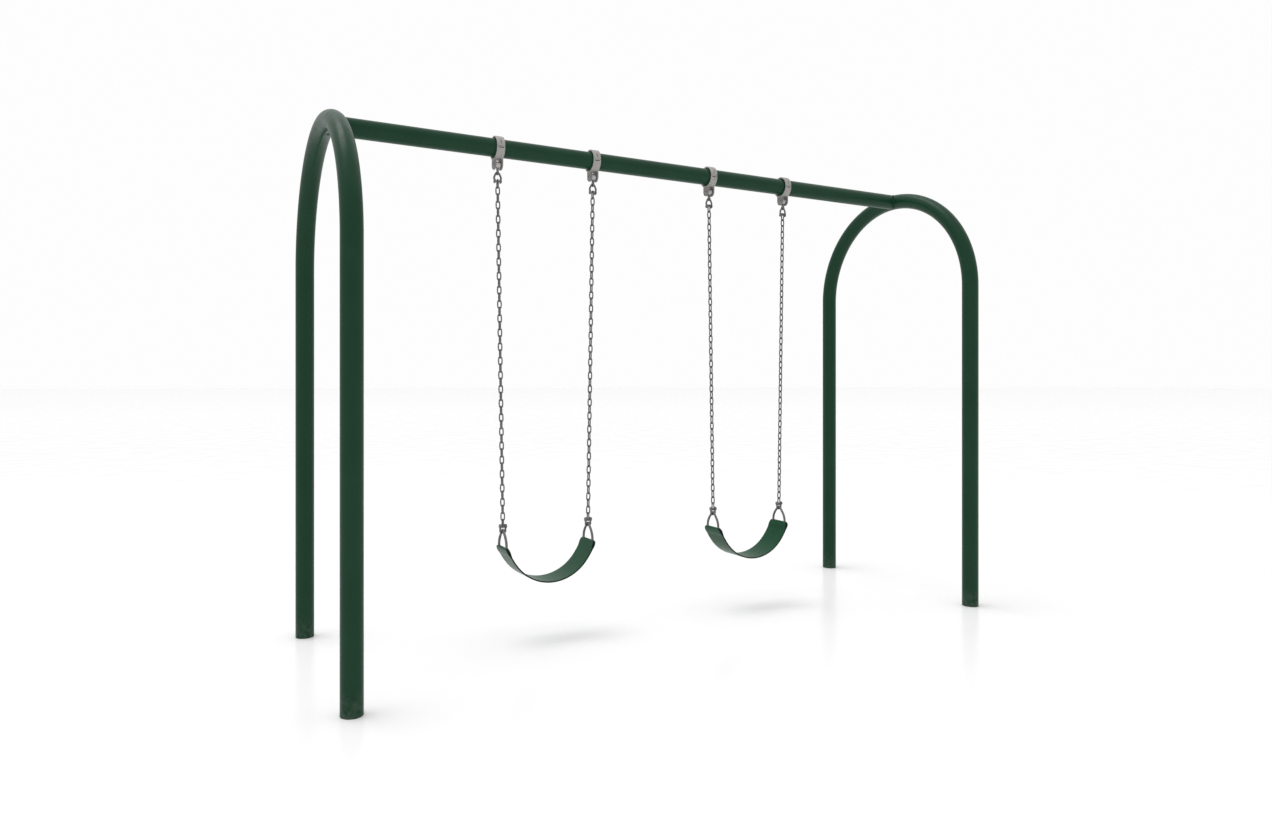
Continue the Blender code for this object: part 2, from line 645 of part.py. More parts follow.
def make_belt(name, at, centre, triangle_cutters):
    bm = bmesh.new()
    rings = []
    for s in belt_stations():
        x, z, slope = belt_mid(abs(s))
        side = 1 if s >= 0 else -1
        thick = Vector((-side * sin(slope), 0, cos(slope))) * belt_half_thickness(abs(s))
        width = Vector((0, belt_half_width(abs(s)), 0))
        middle = Vector((centre + side * x, 0, z)) - at.matrix_world.translation
        corners = (thick + width, thick - width, -thick - width, width - thick)
        rings.append([bm.verts.new(middle + corner) for corner in corners])
    for lower, upper in zip(rings, rings[1:]):
        ring_faces(bm, lower, upper)
    bm.faces.new(rings[0])
    bm.faces.new(list(reversed(rings[-1])))
    belt = object_of(name, bm, "belt_rubber", at)
    for cutter in triangle_cutters:
        boolean(belt, cutter, "DIFFERENCE")


def triangle_route(drop):
    """The triangle's centre line as (across, down) from the middle of its apex."""
    half_width = TRIANGLE_WIDTH / 2
    bow, corner = TRIANGLE_APEX_RADIUS, TRIANGLE_CORNER_RADIUS
    apex_turns = np.linspace(0, radians(TRIANGLE_APEX_TURN), 3)
    half = [(bow * sin(a), bow * (1 - cos(a))) for a in apex_turns]
    half += [(across * half_width, down * drop) for across, down in TRIANGLE_LEG]
    for a in np.linspace(0, pi / 2, 4):
        half.append((half_width - corner * (1 - cos(a)), drop - corner * (1 - sin(a))))
    return half + [(-u, v) for u, v in reversed(half[1:])]


def make_triangle(name, at, apex, bar, radius, as_cutter=False):
    """A closed wire loop from the shackle at its apex to the bar inside the belt's end."""
    down = bar - apex
    direction = down.normalized()
    path = [apex + direction * v + Vector((0, u, 0)) for u, v in triangle_route(down.length)]
    bm = bmesh.new()
    wire(bm, path, radius, closed=True)
    bmesh.ops.translate(bm, verts=bm.verts, vec=-at.matrix_world.translation)
    if as_cutter:
        return cutter_of(name, bm, at)
    return object_of(name, bm, "galvanised", at)


# ---- assembly ------------------------------------------------------------------------------------
def make_hanger(tag, x):
    at_rail = axis_empty(f"rail_axis_{tag}", (x, 0, RAIL_HEIGHT))
    at_pivot = axis_empty(f"swing_axis_{tag}", (x, 0, pivot_height))
    make_cap(tag, at_rail)
    make_yoke(tag, at_rail)
    make_screw(f"clamp_screw_front_{tag}", at_rail, -1)
    make_screw(f"clamp_screw_back_{tag}", at_rail, 1)
    make_pivot_bolt(tag, at_pivot)
    make_bush(tag, at_pivot)
    make_pendulum(tag, at_pivot)


def make_suspension(tag, x, inward):
    at_bow = axis_empty(f"sway_axis_{tag}", (x, 0, bow_centre_height), lean=-inward * chain_lean)
    make_upper_shackle(tag, at_bow)
    face = UPPER_EAR_OFFSET + UPPER_EAR_THICKNESS / 2 + GAP
    head = (UPPER_HEAD_RADIUS, UPPER_HEAD_HEIGHT)
    make_pin(f"upper_pin_{tag}", at_bow, UPPER_PIN_RADIUS, face, *head, -UPPER_PIN_DROP)
    make_chain(tag, at_bow)
    foot = (0, 0, -UPPER_PIN_DROP - chain_length)
    at_foot = axis_empty(f"tilt_axis_{tag}", foot, at_bow, lean=inward * chain_lean)
    make_lower_shackle(tag, at_foot)
    face = LOWER_EAR_OFFSET + LOWER_EAR_THICKNESS / 2 + GAP
    head = (LOWER_HEAD_RADIUS, LOWER_HEAD_HEIGHT)
    make_pin(f"lower_pin_{tag}", at_foot, LOWER_PIN_RADIUS, face, *head, 0.0)
    along = Vector((inward * sin(chain_lean), 0, -cos(chain_lean)))
    pin = Vector((x, 0, bow_centre_height)) + along * (UPPER_PIN_DROP + chain_length)
    return pin - Vector((0, 0, apex_below_pin))


def make_swing(number, centre):
    apexes = []
    for letter, side in (("l", -1), ("r", 1)):
        tag = f"{number}{letter}"
        x = centre + side * HANGER_SPREAD / 2
        make_hanger(tag, x)
        apexes.append(make_suspension(tag, x, -side))
    at_seat = axis_empty(f"level_axis_{number}", apexes[0])
    bpy.context.view_layer.update()
    cutters = []
    for letter, side, apex in (("l", -1, apexes[0]), ("r", 1, apexes[1])):
        bar = Vector((centre + side * bar_x, 0, bar_z))
        make_triangle(f"triangle_{number}{letter}", at_seat, apex, bar, TRIANGLE_WIRE_RADIUS)
        hole = (f"triangle_hole_{number}{letter}", at_seat, apex, bar, TRIANGLE_WIRE_RADIUS + MOULD_GAP)
        cutters.append(make_triangle(*hole, as_cutter=True))
    make_belt(f"belt_seat_{number}", at_seat, centre, cutters)


def main():
    for old in list(bpy.data.objects):
        bpy.data.objects.remove(old, do_unlink=True)
    cutters = []
    for name, side in (("left", -1), ("right", 1)):
        x = side * ARCH_SPACING / 2
        make_arch(f"arch_{name}", x)
        cutters.append(arch_cutter(f"arch_cope_{name}", x))
        make_spigot(f"rail_spigot_{name}", side, cutters[-1])
    make_rail(cutters)
    for number, centre in enumerate(SWING_CENTRES, start=1):
        make_swing(number, centre)


main()
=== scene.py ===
"""The looks of the swing set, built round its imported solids.

Metres, +Z up, +X along the top rail.  Places come from the frame's joints and boxes; the sizes
named below are the shapes' own.
"""

import json
from math import atan2, cos, degrees, pi, radians, sin, sqrt

import bmesh
import bpy
import numpy as np
from mathutils import Matrix, Vector


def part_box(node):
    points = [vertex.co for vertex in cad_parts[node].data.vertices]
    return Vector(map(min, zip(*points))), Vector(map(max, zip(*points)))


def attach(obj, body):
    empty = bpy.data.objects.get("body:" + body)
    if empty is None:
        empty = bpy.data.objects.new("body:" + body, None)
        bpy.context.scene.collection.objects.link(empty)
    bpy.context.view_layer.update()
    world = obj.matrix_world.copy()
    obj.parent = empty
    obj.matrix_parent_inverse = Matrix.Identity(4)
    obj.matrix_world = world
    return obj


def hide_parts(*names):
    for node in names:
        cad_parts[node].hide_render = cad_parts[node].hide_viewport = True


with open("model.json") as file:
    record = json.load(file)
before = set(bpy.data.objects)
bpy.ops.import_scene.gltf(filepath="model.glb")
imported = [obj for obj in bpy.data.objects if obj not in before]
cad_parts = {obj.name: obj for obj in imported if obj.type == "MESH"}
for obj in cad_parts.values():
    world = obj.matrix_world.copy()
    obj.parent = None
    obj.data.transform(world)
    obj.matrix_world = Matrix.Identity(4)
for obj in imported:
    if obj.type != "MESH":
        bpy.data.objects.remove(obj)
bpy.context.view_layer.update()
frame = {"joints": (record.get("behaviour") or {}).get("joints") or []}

# ---- camera --------------------------------------------------------------------------------------
CAMERA_PLACE = (-2.390, -3.951, 1.266)
CAMERA_TURN = 28.27           # degrees from +Y towards +X
CAMERA_LENS = 24.27
CAMERA_SHIFT = (0.0157, -0.0217)

# ---- pipe frame ----------------------------------------------------------------------------------
PIPE_WALL = 0.0055
PIPE_SIDES = 72
BEND_STEPS = 80
FOOT_CHAMFER = 0.0012
SPIGOT_LENGTH = 0.160
SPIGOT_WALL = 0.0045
WELD_RADIUS = 0.0042
WELD_RIPPLE = 0.0034          # length of one ripple of the bead
WELD_SETBACK = 0.0004
WELD_SOFTEN = 0.10            # how much the bead's path rounds off the cope's corner
RAIL_END_SETBACK = 0.0020
RAIL_END_LEAST = 0.0040       # nearest that a rail end comes to the arch's plane
GAP = 0.0003

# ---- hanger --------------------------------------------------------------------------------------
CLAMP_WIDTH = 0.042
CLAMP_SIDE_WALL = 0.0085
CLAMP_TOP_WALL = 0.0130
FLARE_DEPTH = 0.0090
FLARE_RISE = 0.0060
YOKE_STRAIGHT = 0.0060
YOKE_FILLET = 0.0060
SADDLE_WALL = 0.0110
CHEEK_WALL = 0.0070
LOBE_RADIUS = 0.0250
CAST_ROUND = 0.0019           # rounding of the castings' outer edges
FLARE_EASE = 0.0012           # half length of the turn from the bore into its flare
POCKET_ROUND = 0.0012
MARK_ROUND = 0.0006
MARK_DROP = 0.0072
MARK_LENGTH = 0.027
MARK_HEIGHT = 0.0040
MARK_DEPTH = 0.0010
SCREW_RADIUS = 0.0025
SCREW_HEAD_RADIUS = 0.0042
SCREW_HEAD_HEIGHT = 0.0045
SCREW_SEAT_RISE = 0.012
SCREW_REACH = 0.010
SCREW_CHAMFER = 0.0005
SCREW_SOCKET = (0.0022, 0.0040)    # depth, and width across the flats
BOLT_RADIUS = 0.0060
BOLT_HEAD_RADIUS = 0.0095
BOLT_HEAD_HEIGHT = 0.0022
BOLT_SOCKET = (0.0019, 0.0068)
BUSH_WALL = 0.0035
BUSH_CHAMFER = 0.0006
HUB_RADIUS = 0.0160
HUB_CHAMFER = 0.0015
SHANK_WIDTH = 0.0090
SHANK_DEPTH = 0.0100
EYE_DROP = 0.0380
EYE_HOLE_RADIUS = 0.0070
EYE_RADIUS = 0.0125
EYE_THICKNESS = 0.0065
EYE_MOUTH = ((0.0010, 0.0), (-0.0020, 0.0030))   # in from the face, and wider than the hole
EYE_RUB_REACH = 0.0018
HUB_RUB_REACH = 0.0020
FORGE_VOXEL = 0.0006

# ---- shackles ------------------------------------------------------------------------------------
UPPER_WIRE_RADIUS = 0.0050
UPPER_BOW_RADIUS = 0.0110
UPPER_SHOULDER = 0.0178
UPPER_SIDE = ((0.76, 0.07), (0.92, 0.30), (1.0, 0.54))
UPPER_PIN_DROP = 0.0297
UPPER_PIN_RADIUS = 0.0045
UPPER_HEAD_RADIUS = 0.0058
UPPER_HEAD_HEIGHT = 0.0030
UPPER_EAR_OFFSET = 0.0150
UPPER_EAR_RADIUS = 0.0110
UPPER_EAR_THICKNESS = 0.0065
LOWER_WIRE_RADIUS = 0.0050
LOWER_PIN_RADIUS = 0.0040
LOWER_HEAD_RADIUS = 0.0064
LOWER_HEAD_HEIGHT = 0.0025
LOWER_EAR_OFFSET = 0.0135
LOWER_EAR_RADIUS = 0.0105
LOWER_EAR_THICKNESS = 0.0104
LOWER_CORNER_RADIUS = 0.0080
LOWER_PLAY = 0.0018
EAR_CHAMFER = 0.0008
PIN_TAIL = 0.0014
PIN_CHAMFER = 0.0006
BOW_RUB_REACH = 0.0040

# ---- chain ---------------------------------------------------------------------------------------
LINKS = 49
CHAIN_WIRE = 0.0068
LINK_WIDTH = 0.0250
LINK_END_RADIUS = 0.0080      # wire centre's radius round the link's ends
LINK_SIDES = 12
LINK_SLIM = 0.985             # wire drawn a little thinner as it is bent
LINK_WELD_RISE = 0.11
LINK_WELD_HALF = 0.0045
LINK_RUB_REACH = 0.0042

# ---- seat ----------------------------------------------------------------------------------------
TRIANGLE_WIRE_RADIUS = 0.0064
TRIANGLE_WIDTH = 0.1020
TRIANGLE_APEX_RADIUS = 0.0120
TRIANGLE_APEX_TURN = 48.0
TRIANGLE_LEG = ((0.66, 0.34), (0.92, 0.60))
TRIANGLE_CORNER_RADIUS = 0.0130
BELT_WIDTH = 0.1590
BELT_THICKNESS = 0.0068
BELT_END_THICKNESS = 0.0160
BELT_CORNER_RADIUS = 0.0250
BELT_ARCS = ((0.2338, 51.0), (0.3332, 75.0))   # radius, and the slope where that arc ends
BELT_HALF_SPAN = 0.2360
BAR_INSET = 0.0105
BELT_END_LENGTH = 0.0240
BELT_TAPER = 0.0300
DIMPLE_FROM_END = 0.0300
DIMPLE_HALF = (0.0050, 0.0105)
DIMPLE_DEPTH = 0.0008
DIMPLE_RISE = 0.0050          # half height of the ellipsoid that cuts it
DIMPLE_SPREAD = 1.6           # that ellipsoid's size over the dimple's
SEATED_HALF = 0.16            # the rubbed part of the belt, from its middle
SEATED_RUB = 0.2
APEX_RUB_REACH = 0.0060

# ---- places from the frame -----------------------------------------------------------------------
joint_place = {joint["name"]: Vector(joint["pos_m"]) for joint in frame["joints"]}
rail_low, rail_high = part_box("top_rail")
rail_height = (rail_low.z + rail_high.z) / 2
pipe_radius = (rail_high.z - rail_low.z) / 2
arch_low, arch_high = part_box("arch_right")
arch_x = (arch_low.x + arch_high.x) / 2
arch_radius = arch_high.y - pipe_radius
spring_height = rail_height - arch_radius
pivot_height = joint_place["swing_1"].z
pivot_drop = rail_height - pivot_height
apex_below_pin = LOWER_PIN_RADIUS + CHAIN_WIRE + LOWER_PLAY + TRIANGLE_WIRE_RADIUS
lower_bow_drop = apex_below_pin + TRIANGLE_WIRE_RADIUS + GAP + LOWER_WIRE_RADIUS
TAGS = ("1l", "1r", "2l", "2r")


# ---- node helpers --------------------------------------------------------------------------------
def fill_ramp(ramp, stops):
    """Give a new colour ramp its (position, colour or grey) stops."""
    elements = ramp.color_ramp.elements
    while len(elements) < len(stops):
        elements.new(0.5)
    for element, (position, value) in zip(elements, stops):
        element.position = position
        colour = value if isinstance(value, tuple) else (value, value, value)
        element.color = (*colour, 1.0)


class Finish:
    """A material whose Principled shader is fed by nodes added one at a time."""

    def __init__(self, name, metallic, specular=0.5):
        self.material = bpy.data.materials.new(name)
        self.material.use_nodes = True
        self.tree = self.material.node_tree
        self.shader = self.tree.nodes["Principled BSDF"]
        self.shader.inputs["Metallic"].default_value = metallic
        self.shader.inputs["Specular IOR Level"].default_value = specular
        self.place = self.tree.nodes.new("ShaderNodeTexCoord").outputs["Object"]

    def node(self, kind, output, settings=None, **inputs):
        made = self.tree.nodes.new(kind)
        for key, value in (settings or {}).items():
            setattr(made, key, value)
        for key, value in inputs.items():
            socket = made.inputs[key.replace("_", " ")]
            if isinstance(value, bpy.types.NodeSocket):
                self.tree.links.new(value, socket)
            else:
                socket.default_value = value
        return made.outputs[output]

    def stretched(self, scale):
        return self.node("ShaderNodeMapping", "Vector", Vector=self.place, Scale=scale)

    def noise(self, scale, detail=3.0, roughness=0.55, distortion=0.0, place=None):
        return self.node("ShaderNodeTexNoise", "Fac", Vector=place or self.place, Scale=scale,
                         Detail=detail, Roughness=roughness, Distortion=distortion)

    def cells(self, scale, output="Color"):
        return self.node("ShaderNodeTexVoronoi", output, Vector=self.place, Scale=scale)

    def ramp(self, fac, *stops):
        made = self.tree.nodes.new("ShaderNodeValToRGB")
        self.tree.links.new(fac, made.inputs["Fac"])
        fill_ramp(made, stops)
        return made.outputs["Color"]

    def mix(self, fac, first, second, blend="MIX"):
        made = self.tree.nodes.new("ShaderNodeMix")
        made.data_type = "RGBA"
        made.blend_type = blend
        pairs = ((made.inputs[0], fac), (made.inputs[6], first), (made.inputs[7], second))
        for socket, value in pairs:
            if isinstance(value, bpy.types.NodeSocket):
                self.tree.links.new(value, socket)
            elif isinstance(value, tuple):
                socket.default_value = (*value, 1.0)
            else:
                socket.default_value = value
        return made.outputs[2]

    def attribute(self, name):
        return self.node("ShaderNodeAttribute", "Fac", {"attribute_name": name})

    def height_of(self):
        return self.node("ShaderNodeSeparateXYZ", "Z", Vector=self.place)

    def bump(self, height, strength, distance, under=None):
        made = self.tree.nodes.new("ShaderNodeBump")
        made.inputs["Strength"].default_value = strength
        made.inputs["Distance"].default_value = distance
        self.tree.links.new(height, made.inputs["Height"])
        if under:
            self.tree.links.new(under, made.inputs["Normal"])
        return made.outputs["Normal"]

    def done(self, colour, roughness, normal):
        self.tree.links.new(colour, self.shader.inputs["Base Color"])
        self.tree.links.new(roughness, self.shader.inputs["Roughness"])
        self.tree.links.new(normal, self.shader.inputs["Normal"])
        return self.material


# ---- materials -----------------------------------------------------------------------------------
def powder_coat():
    """Dark green powder coat: orange peel, faint mottle, a little dust at the ground."""
    f = Finish("powder_coat_green", 0.0, specular=0.15)
    mottle = f.noise(5.0, 4.0, distortion=0.4)
    colour = f.ramp(mottle, (0.30, (0.0042, 0.0350, 0.0158)), (0.72, (0.0070, 0.0420, 0.0200)))
    specks = f.ramp(f.noise(1900.0, 1.0), (0.62, 0.0), (0.74, 1.0))
    colour = f.mix(specks, colour, (0.020, 0.062, 0.036))
    low = f.ramp(f.height_of(), (0.0, 0.55), (0.11, 0.0))
    dust = f.mix(1.0, low, f.ramp(f.noise(55.0, 5.0), (0.38, 0.0), (0.75, 0.7)), "MULTIPLY")
    colour = f.mix(dust, colour, (0.16, 0.17, 0.145))
    roughness = f.ramp(f.noise(30.0, 4.0), (0.25, 0.27), (0.75, 0.40))
    peel = f.bump(f.noise(420.0, 2.0, 0.4), 0.22, 0.0006)
    return f.done(colour, roughness, f.bump(f.noise(1500.0, 1.0), 0.06, 0.0003, peel))


def clamp_casting():
    """Galvanised casting: sandy grain, dull zinc with darker pits, painted shade over the lower
    lobes, near-black painted shade in the cast slots.
    """
    f = Finish("clamp_casting_zinc", 0.35)
    tone = f.noise(60.0, 5.0, distortion=0.6)
    colour = f.ramp(tone, (0.25, (0.300, 0.288, 0.275)), (0.75, (0.390, 0.378, 0.364)))
    pits = f.ramp(f.noise(950.0, 3.0), (0.30, 1.0), (0.42, 0.0))
    colour = f.mix(pits, colour, (0.17, 0.16, 0.15))
    # painted shade: the casting below the saddle, round the lobes and pivot, is darkened and made
    # patchy by noise
    lobe = f.node("ShaderNodeMapRange", "Result", Value=f.height_of(), From_Min=rail_height - 0.066,
                  From_Max=rail_height - 0.048, To_Min=1.0, To_Max=0.0)
    painted_shade_mottle = f.ramp(f.noise(130.0, 4.0), (0.30, 0.35), (0.70, 0.80))
    colour = f.mix(f.mix(1.0, lobe, painted_shade_mottle, "MULTIPLY"), colour, (0.105, 0.102, 0.098))
    # painted shade: near-black on the floors of the cast slots
    colour = f.mix(f.attribute("grime_and_painted_shade"), colour, (0.022, 0.016, 0.012))
    worn = f.attribute("wear")
    colour = f.mix(worn, colour, (0.55, 0.535, 0.515))
    roughness = f.ramp(f.noise(220.0, 4.0), (0.25, 0.46), (0.75, 0.62))
    sand = f.bump(f.noise(700.0, 5.0, 0.7), 0.40, 0.0005)
    return f.done(colour, roughness, f.bump(f.noise(90.0, 3.0), 0.25, 0.0009, sand))


def galvanised():
    """Hot-dip zinc on steel: spangles, dull patches, a little rust, bright where it rubs."""
    f = Finish("galvanised_zinc", 0.82)
    spangle = f.node("ShaderNodeSeparateColor", "Red", Color=f.cells(330.0))
    colour = f.ramp(spangle, (0.0, (0.120, 0.120, 0.123)), (1.0, (0.200, 0.200, 0.203)))
    dull = f.ramp(f.noise(120.0, 5.0, 0.6, 0.5), (0.40, 0.0), (0.70, 0.55))
    colour = f.mix(dull, colour, (0.155, 0.150, 0.144))
    rust = f.ramp(f.noise(260.0, 5.0, 0.7), (0.66, 0.0), (0.80, 0.35))
    colour = f.mix(rust, colour, (0.085, 0.055, 0.036))
    colour = f.mix(f.attribute("wear"), colour, (0.44, 0.435, 0.425))
    roughness = f.ramp(f.noise(400.0, 4.0), (0.25, 0.30), (0.75, 0.48))
    grain = f.bump(f.noise(900.0, 4.0, 0.6), 0.25, 0.0003)
    return f.done(colour, roughness, f.bump(f.noise(160.0, 2.0), 0.20, 0.0006, grain))


def fastener():
    """Zinc-plated turned steel with fine rings round its axis."""
    f = Finish("fastener_steel", 0.88)
    rings = f.noise(1.0, 3.0, place=f.stretched((2600.0, 160.0, 160.0)))
    colour = f.ramp(rings, (0.30, (0.20, 0.20, 0.197)), (0.70, (0.31, 0.307, 0.298)))
    grime_and_painted_shade = f.ramp(f.noise(380.0, 5.0), (0.55, 0.0), (0.80, 0.6))
    colour = f.mix(grime_and_painted_shade, colour, (0.11, 0.100, 0.088))
    roughness = f.ramp(f.noise(500.0, 4.0), (0.25, 0.28), (0.75, 0.46))
    return f.done(colour, roughness, f.bump(rings, 0.18, 0.0002))


def bronze():
    """Sintered bronze: fine pores, oil-darkened patches."""
    f = Finish("bronze_bush", 0.95)
    colour = f.ramp(f.noise(140.0, 4.0), (0.30, (0.30, 0.185, 0.065)), (0.72, (0.48, 0.31, 0.12)))
    pores = f.ramp(f.cells(2600.0, "Distance"), (0.05, 1.0), (0.16, 0.0))
    colour = f.mix(pores, colour, (0.12, 0.07, 0.03))
    roughness = f.ramp(f.noise(320.0, 3.0), (0.25, 0.34), (0.75, 0.50))
    return f.done(colour, roughness, f.bump(pores, 0.25, 0.0002))


def belt_rubber():
    """Moulded green rubber: fine grain, bloom, rubbed where it is sat on, painted shade near-black
    at the rim.
    """
    f = Finish("belt_rubber_green", 0.0, specular=0.08)
    f.shader.inputs["Sheen Weight"].default_value = 0.02
    f.shader.inputs["Sheen Roughness"].default_value = 0.55
    bloom = f.noise(16.0, 5.0, 0.6, 0.7)
    colour = f.ramp(bloom, (0.28, (0.0062, 0.0520, 0.0225)), (0.74, (0.0095, 0.0640, 0.0290)))
    flecks = f.ramp(f.noise(1400.0, 2.0), (0.60, 0.0), (0.76, 0.3))
    colour = f.mix(flecks, colour, (0.020, 0.086, 0.046))
    patches = f.ramp(f.noise(90.0, 5.0), (0.35, 0.15), (0.70, 0.8))
    scuffed = f.mix(1.0, f.attribute("wear"), patches, "MULTIPLY")
    colour = f.mix(scuffed, colour, (0.022, 0.086, 0.046))
    # painted shade: near-black along the belt's rounded rim
    colour = f.mix(f.attribute("grime_and_painted_shade"), colour, (0.0030, 0.0105, 0.0065))
    roughness = f.ramp(f.noise(70.0, 5.0), (0.25, 0.24), (0.75, 0.38))
    grain = f.bump(f.cells(900.0, "Distance"), 0.28, 0.0003)
    return f.done(colour, roughness, f.bump(f.noise(45.0, 3.0), 0.10, 0.0010, grain))


def studio_floor():
    """Pale seamless floor with a faint polish."""
    f = Finish("studio_floor", 0.0, specular=0.12)
    tone = f.ramp(f.noise(0.8, 2.0), (0.35, 0.86), (0.65, 0.87))
    roughness = f.ramp(f.noise(2.5, 3.0), (0.35, 0.20), (0.65, 0.24))
    return f.done(tone, roughness, f.bump(f.noise(60.0, 2.0), 0.01, 0.0005))


FINISHES = (powder_coat, clamp_casting, galvanised, fastener, bronze, belt_rubber)
MATERIALS = {finish.__name__: finish() for finish in FINISHES}


# ---- mesh helpers --------------------------------------------------------------------------------
def ring_faces(bm, lower, upper):
    count = len(lower)
    for i in range(count):
        j = (i + 1) % count
        bm.faces.new((lower[i], lower[j], upper[j], upper[i]))


def sweep_rings(bm, path, normals, radii, sides, closed):
    """Rings square to a path; normals is one vector, or one for each point, and so is radii."""
    count = len(path)
    rings = []
    for i, point in enumerate(path):
        before = path[i - 1] if closed or i else path[0]
        after = path[(i + 1) % count] if closed or i < count - 1 else path[-1]
        along = (after - before).normalized()
        normal = normals if isinstance(normals, Vector) else normals[i]
        normal = (normal - along * normal.dot(along)).normalized()
        side = along.cross(normal)
        radius = radii[i] if hasattr(radii, "__len__") else radii
        turns = (2 * pi * k / sides for k in range(sides))
        spokes = (radius * (cos(t) * normal + sin(t) * side) for t in turns)
        rings.append([bm.verts.new(point + spoke) for spoke in spokes])
    return rings


def sweep(bm, path, normals, radii, sides, closed=False):
    rings = sweep_rings(bm, path, normals, radii, sides, closed)
    for lower, upper in zip(rings, rings[1:]):
        ring_faces(bm, lower, upper)
    if closed:
        ring_faces(bm, rings[-1], rings[0])
    else:
        bm.faces.new(rings[0])
        bm.faces.new(list(reversed(rings[-1])))
    return rings


def turned(bm, profile, sides, centre=(0.0, 0.0, 0.0)):
    """A solid turned about X from (x, radius) pairs; a radius of 0 closes it with a point."""
    rings = []
    for x, radius in profile:
        at = (centre[0] + x, centre[1], centre[2])
        if radius == 0:
            rings.append([bm.verts.new(at)])
            continue
        turns = (2 * pi * k / sides for k in range(sides))
        places = ((at[0], at[1] + radius * cos(t), at[2] + radius * sin(t)) for t in turns)
        rings.append([bm.verts.new(place) for place in places])
    for lower, upper in zip(rings, rings[1:]):
        if len(lower) == len(upper):
            ring_faces(bm, lower, upper)
        else:
            tip, rim = (lower[0], upper) if len(lower) == 1 else (upper[0], lower)
            for i in range(sides):
                bm.faces.new((tip, rim[i], rim[(i + 1) % sides]))
    for end in (rings[0], rings[-1]):
        if len(end) > 1:
            bm.faces.new(end)


def drum(bm, low, high, radius, chamfer, sides, centre=(0.0, 0.0, 0.0)):
    """A short cylinder along X with chamfered rims."""
    profile = [(low, radius - chamfer), (low + chamfer, radius), (high - chamfer, radius),
               (high, radius - chamfer)]
    turned(bm, profile, sides, centre)


def tube_faces(bm, outside, inside):
    """The faces of a pipe from its outer and its inner rings."""
    for rings in (outside, inside):
        for lower, upper in zip(rings, rings[1:]):
            ring_faces(bm, lower, upper)
    for end in (0, -1):
        ring_faces(bm, outside[end], inside[end])


def slab(bm, outline, low, high):
    """Extrude a closed (y, z) outline from low to high along X."""
    bottom = [bm.verts.new((low, u, v)) for u, v in outline]
    top = [bm.verts.new((high, u, v)) for u, v in outline]
    ring_faces(bm, bottom, top)
    bm.faces.new(bottom)
    bm.faces.new(list(reversed(top)))


def box_outline(low, high):
    return [(low[0], low[1]), (high[0], low[1]), (high[0], high[1]), (low[0], high[1])]


def arc(centre, radius, start, end, steps):
    """Points of a 2-D arc, angles in degrees from the first axis."""
    angles = (radians(start + (end - start) * k / steps) for k in range(steps + 1))
    return [(centre[0] + radius * cos(a), centre[1] + radius * sin(a)) for a in angles]


def mirrored(half):
    """A closed outline from its right half, listed from bottom middle to top middle."""
    return half + [(-u, v) for u, v in reversed(half) if abs(u) > 1e-9]


def placed(name, data):
    """A new object in the scene."""
    made = bpy.data.objects.new(name, data)
    bpy.context.collection.objects.link(made)
    return made


def draft(bm):
    """A working object that is shaped further with modifiers."""
    bmesh.ops.recalc_face_normals(bm, faces=bm.faces)
    mesh = bpy.data.meshes.new("draft")
    bm.to_mesh(mesh)
    bm.free()
    return placed("draft", mesh)


def rounded(made, width):
    step = made.modifiers.new("round", "BEVEL")
    step.width = width
    step.segments = 3
    step.limit_method = "ANGLE"
    step.angle_limit = radians(40.0)
    return made


def cut(made, bm, rounding=0.0):
    """Cut a solid out of a working object."""
    other = draft(bm)
    if rounding:
        rounded(other, rounding)
    step = made.modifiers.new("cut", "BOOLEAN")
    step.operation = "DIFFERENCE"
    step.solver = "EXACT"
    step.object = other
    settle(made)
    drop(other)
    return made


def bored(made, half, radius, sides, centre=(0.0, 0.0, 0.0)):
    """Cut a round hole along X."""
    bm = bmesh.new()
    turned(bm, [(-half, radius), (half, radius)], sides, centre)
    return cut(made, bm)


def settle(made):
    """Put an object's modifiers into its mesh."""
    bpy.context.view_layer.update()
    evaluated = made.evaluated_get(bpy.context.evaluated_depsgraph_get())
    mesh = bpy.data.meshes.new_from_object(evaluated)
    made.modifiers.clear()
    old = made.data
    made.data = mesh
    bpy.data.meshes.remove(old)
    return made


def drop(made):
    mesh = made.data
    bpy.data.objects.remove(made)
    if mesh.users == 0:
        bpy.data.meshes.remove(mesh)


def forged(bm, rounds):
    """Overlapping solids grown into one with soft fillets, as a forging has."""
    made = draft(bm)
    remesh = made.modifiers.new("grow", "REMESH")
    remesh.mode = "VOXEL"
    remesh.voxel_size = FORGE_VOXEL
    smooth = made.modifiers.new("soften", "SMOOTH")
    smooth.factor = 0.5
    smooth.iterations = rounds
    return settle(made)


def mesh_of(made):
    """Keep a working object's mesh, and drop the object."""
    mesh = made.data
    mesh.use_fake_user = True
    bpy.data.objects.remove(made)
    return mesh


def stored(mesh, name, values):
    mesh.attributes.new(name, "FLOAT", "POINT").data.foreach_set("value", values)
    return mesh


def painted(mesh, name, share):
    """Store wear, or painted shade, at each point, from 0 to 1, by a function of its place."""
    shares = (float(share(vertex.co)) for vertex in mesh.vertices)
    return stored(mesh, name, [min(max(value, 0.0), 1.0) for value in shares])


def edge_wear(mesh):
    """Wear along convex edges, from how far each point stands out of its neighbours."""
    bm = bmesh.new()
    bm.from_mesh(mesh)
    bm.normal_update()
    values = []
    for vertex in bm.verts:
        others = [edge.other_vert(vertex).co for edge in vertex.link_edges]
        middle = sum(others, Vector()) / max(len(others), 1)
        spread = sum((other - vertex.co).length for other in others) / max(len(others), 1)
        out = (vertex.co - middle).dot(vertex.normal) / max(spread, 1e-7)
        values.append(min(max(out * 0.5 - 0.06, 0.0), 0.7))
    bm.free()
    return stored(mesh, "wear", values)


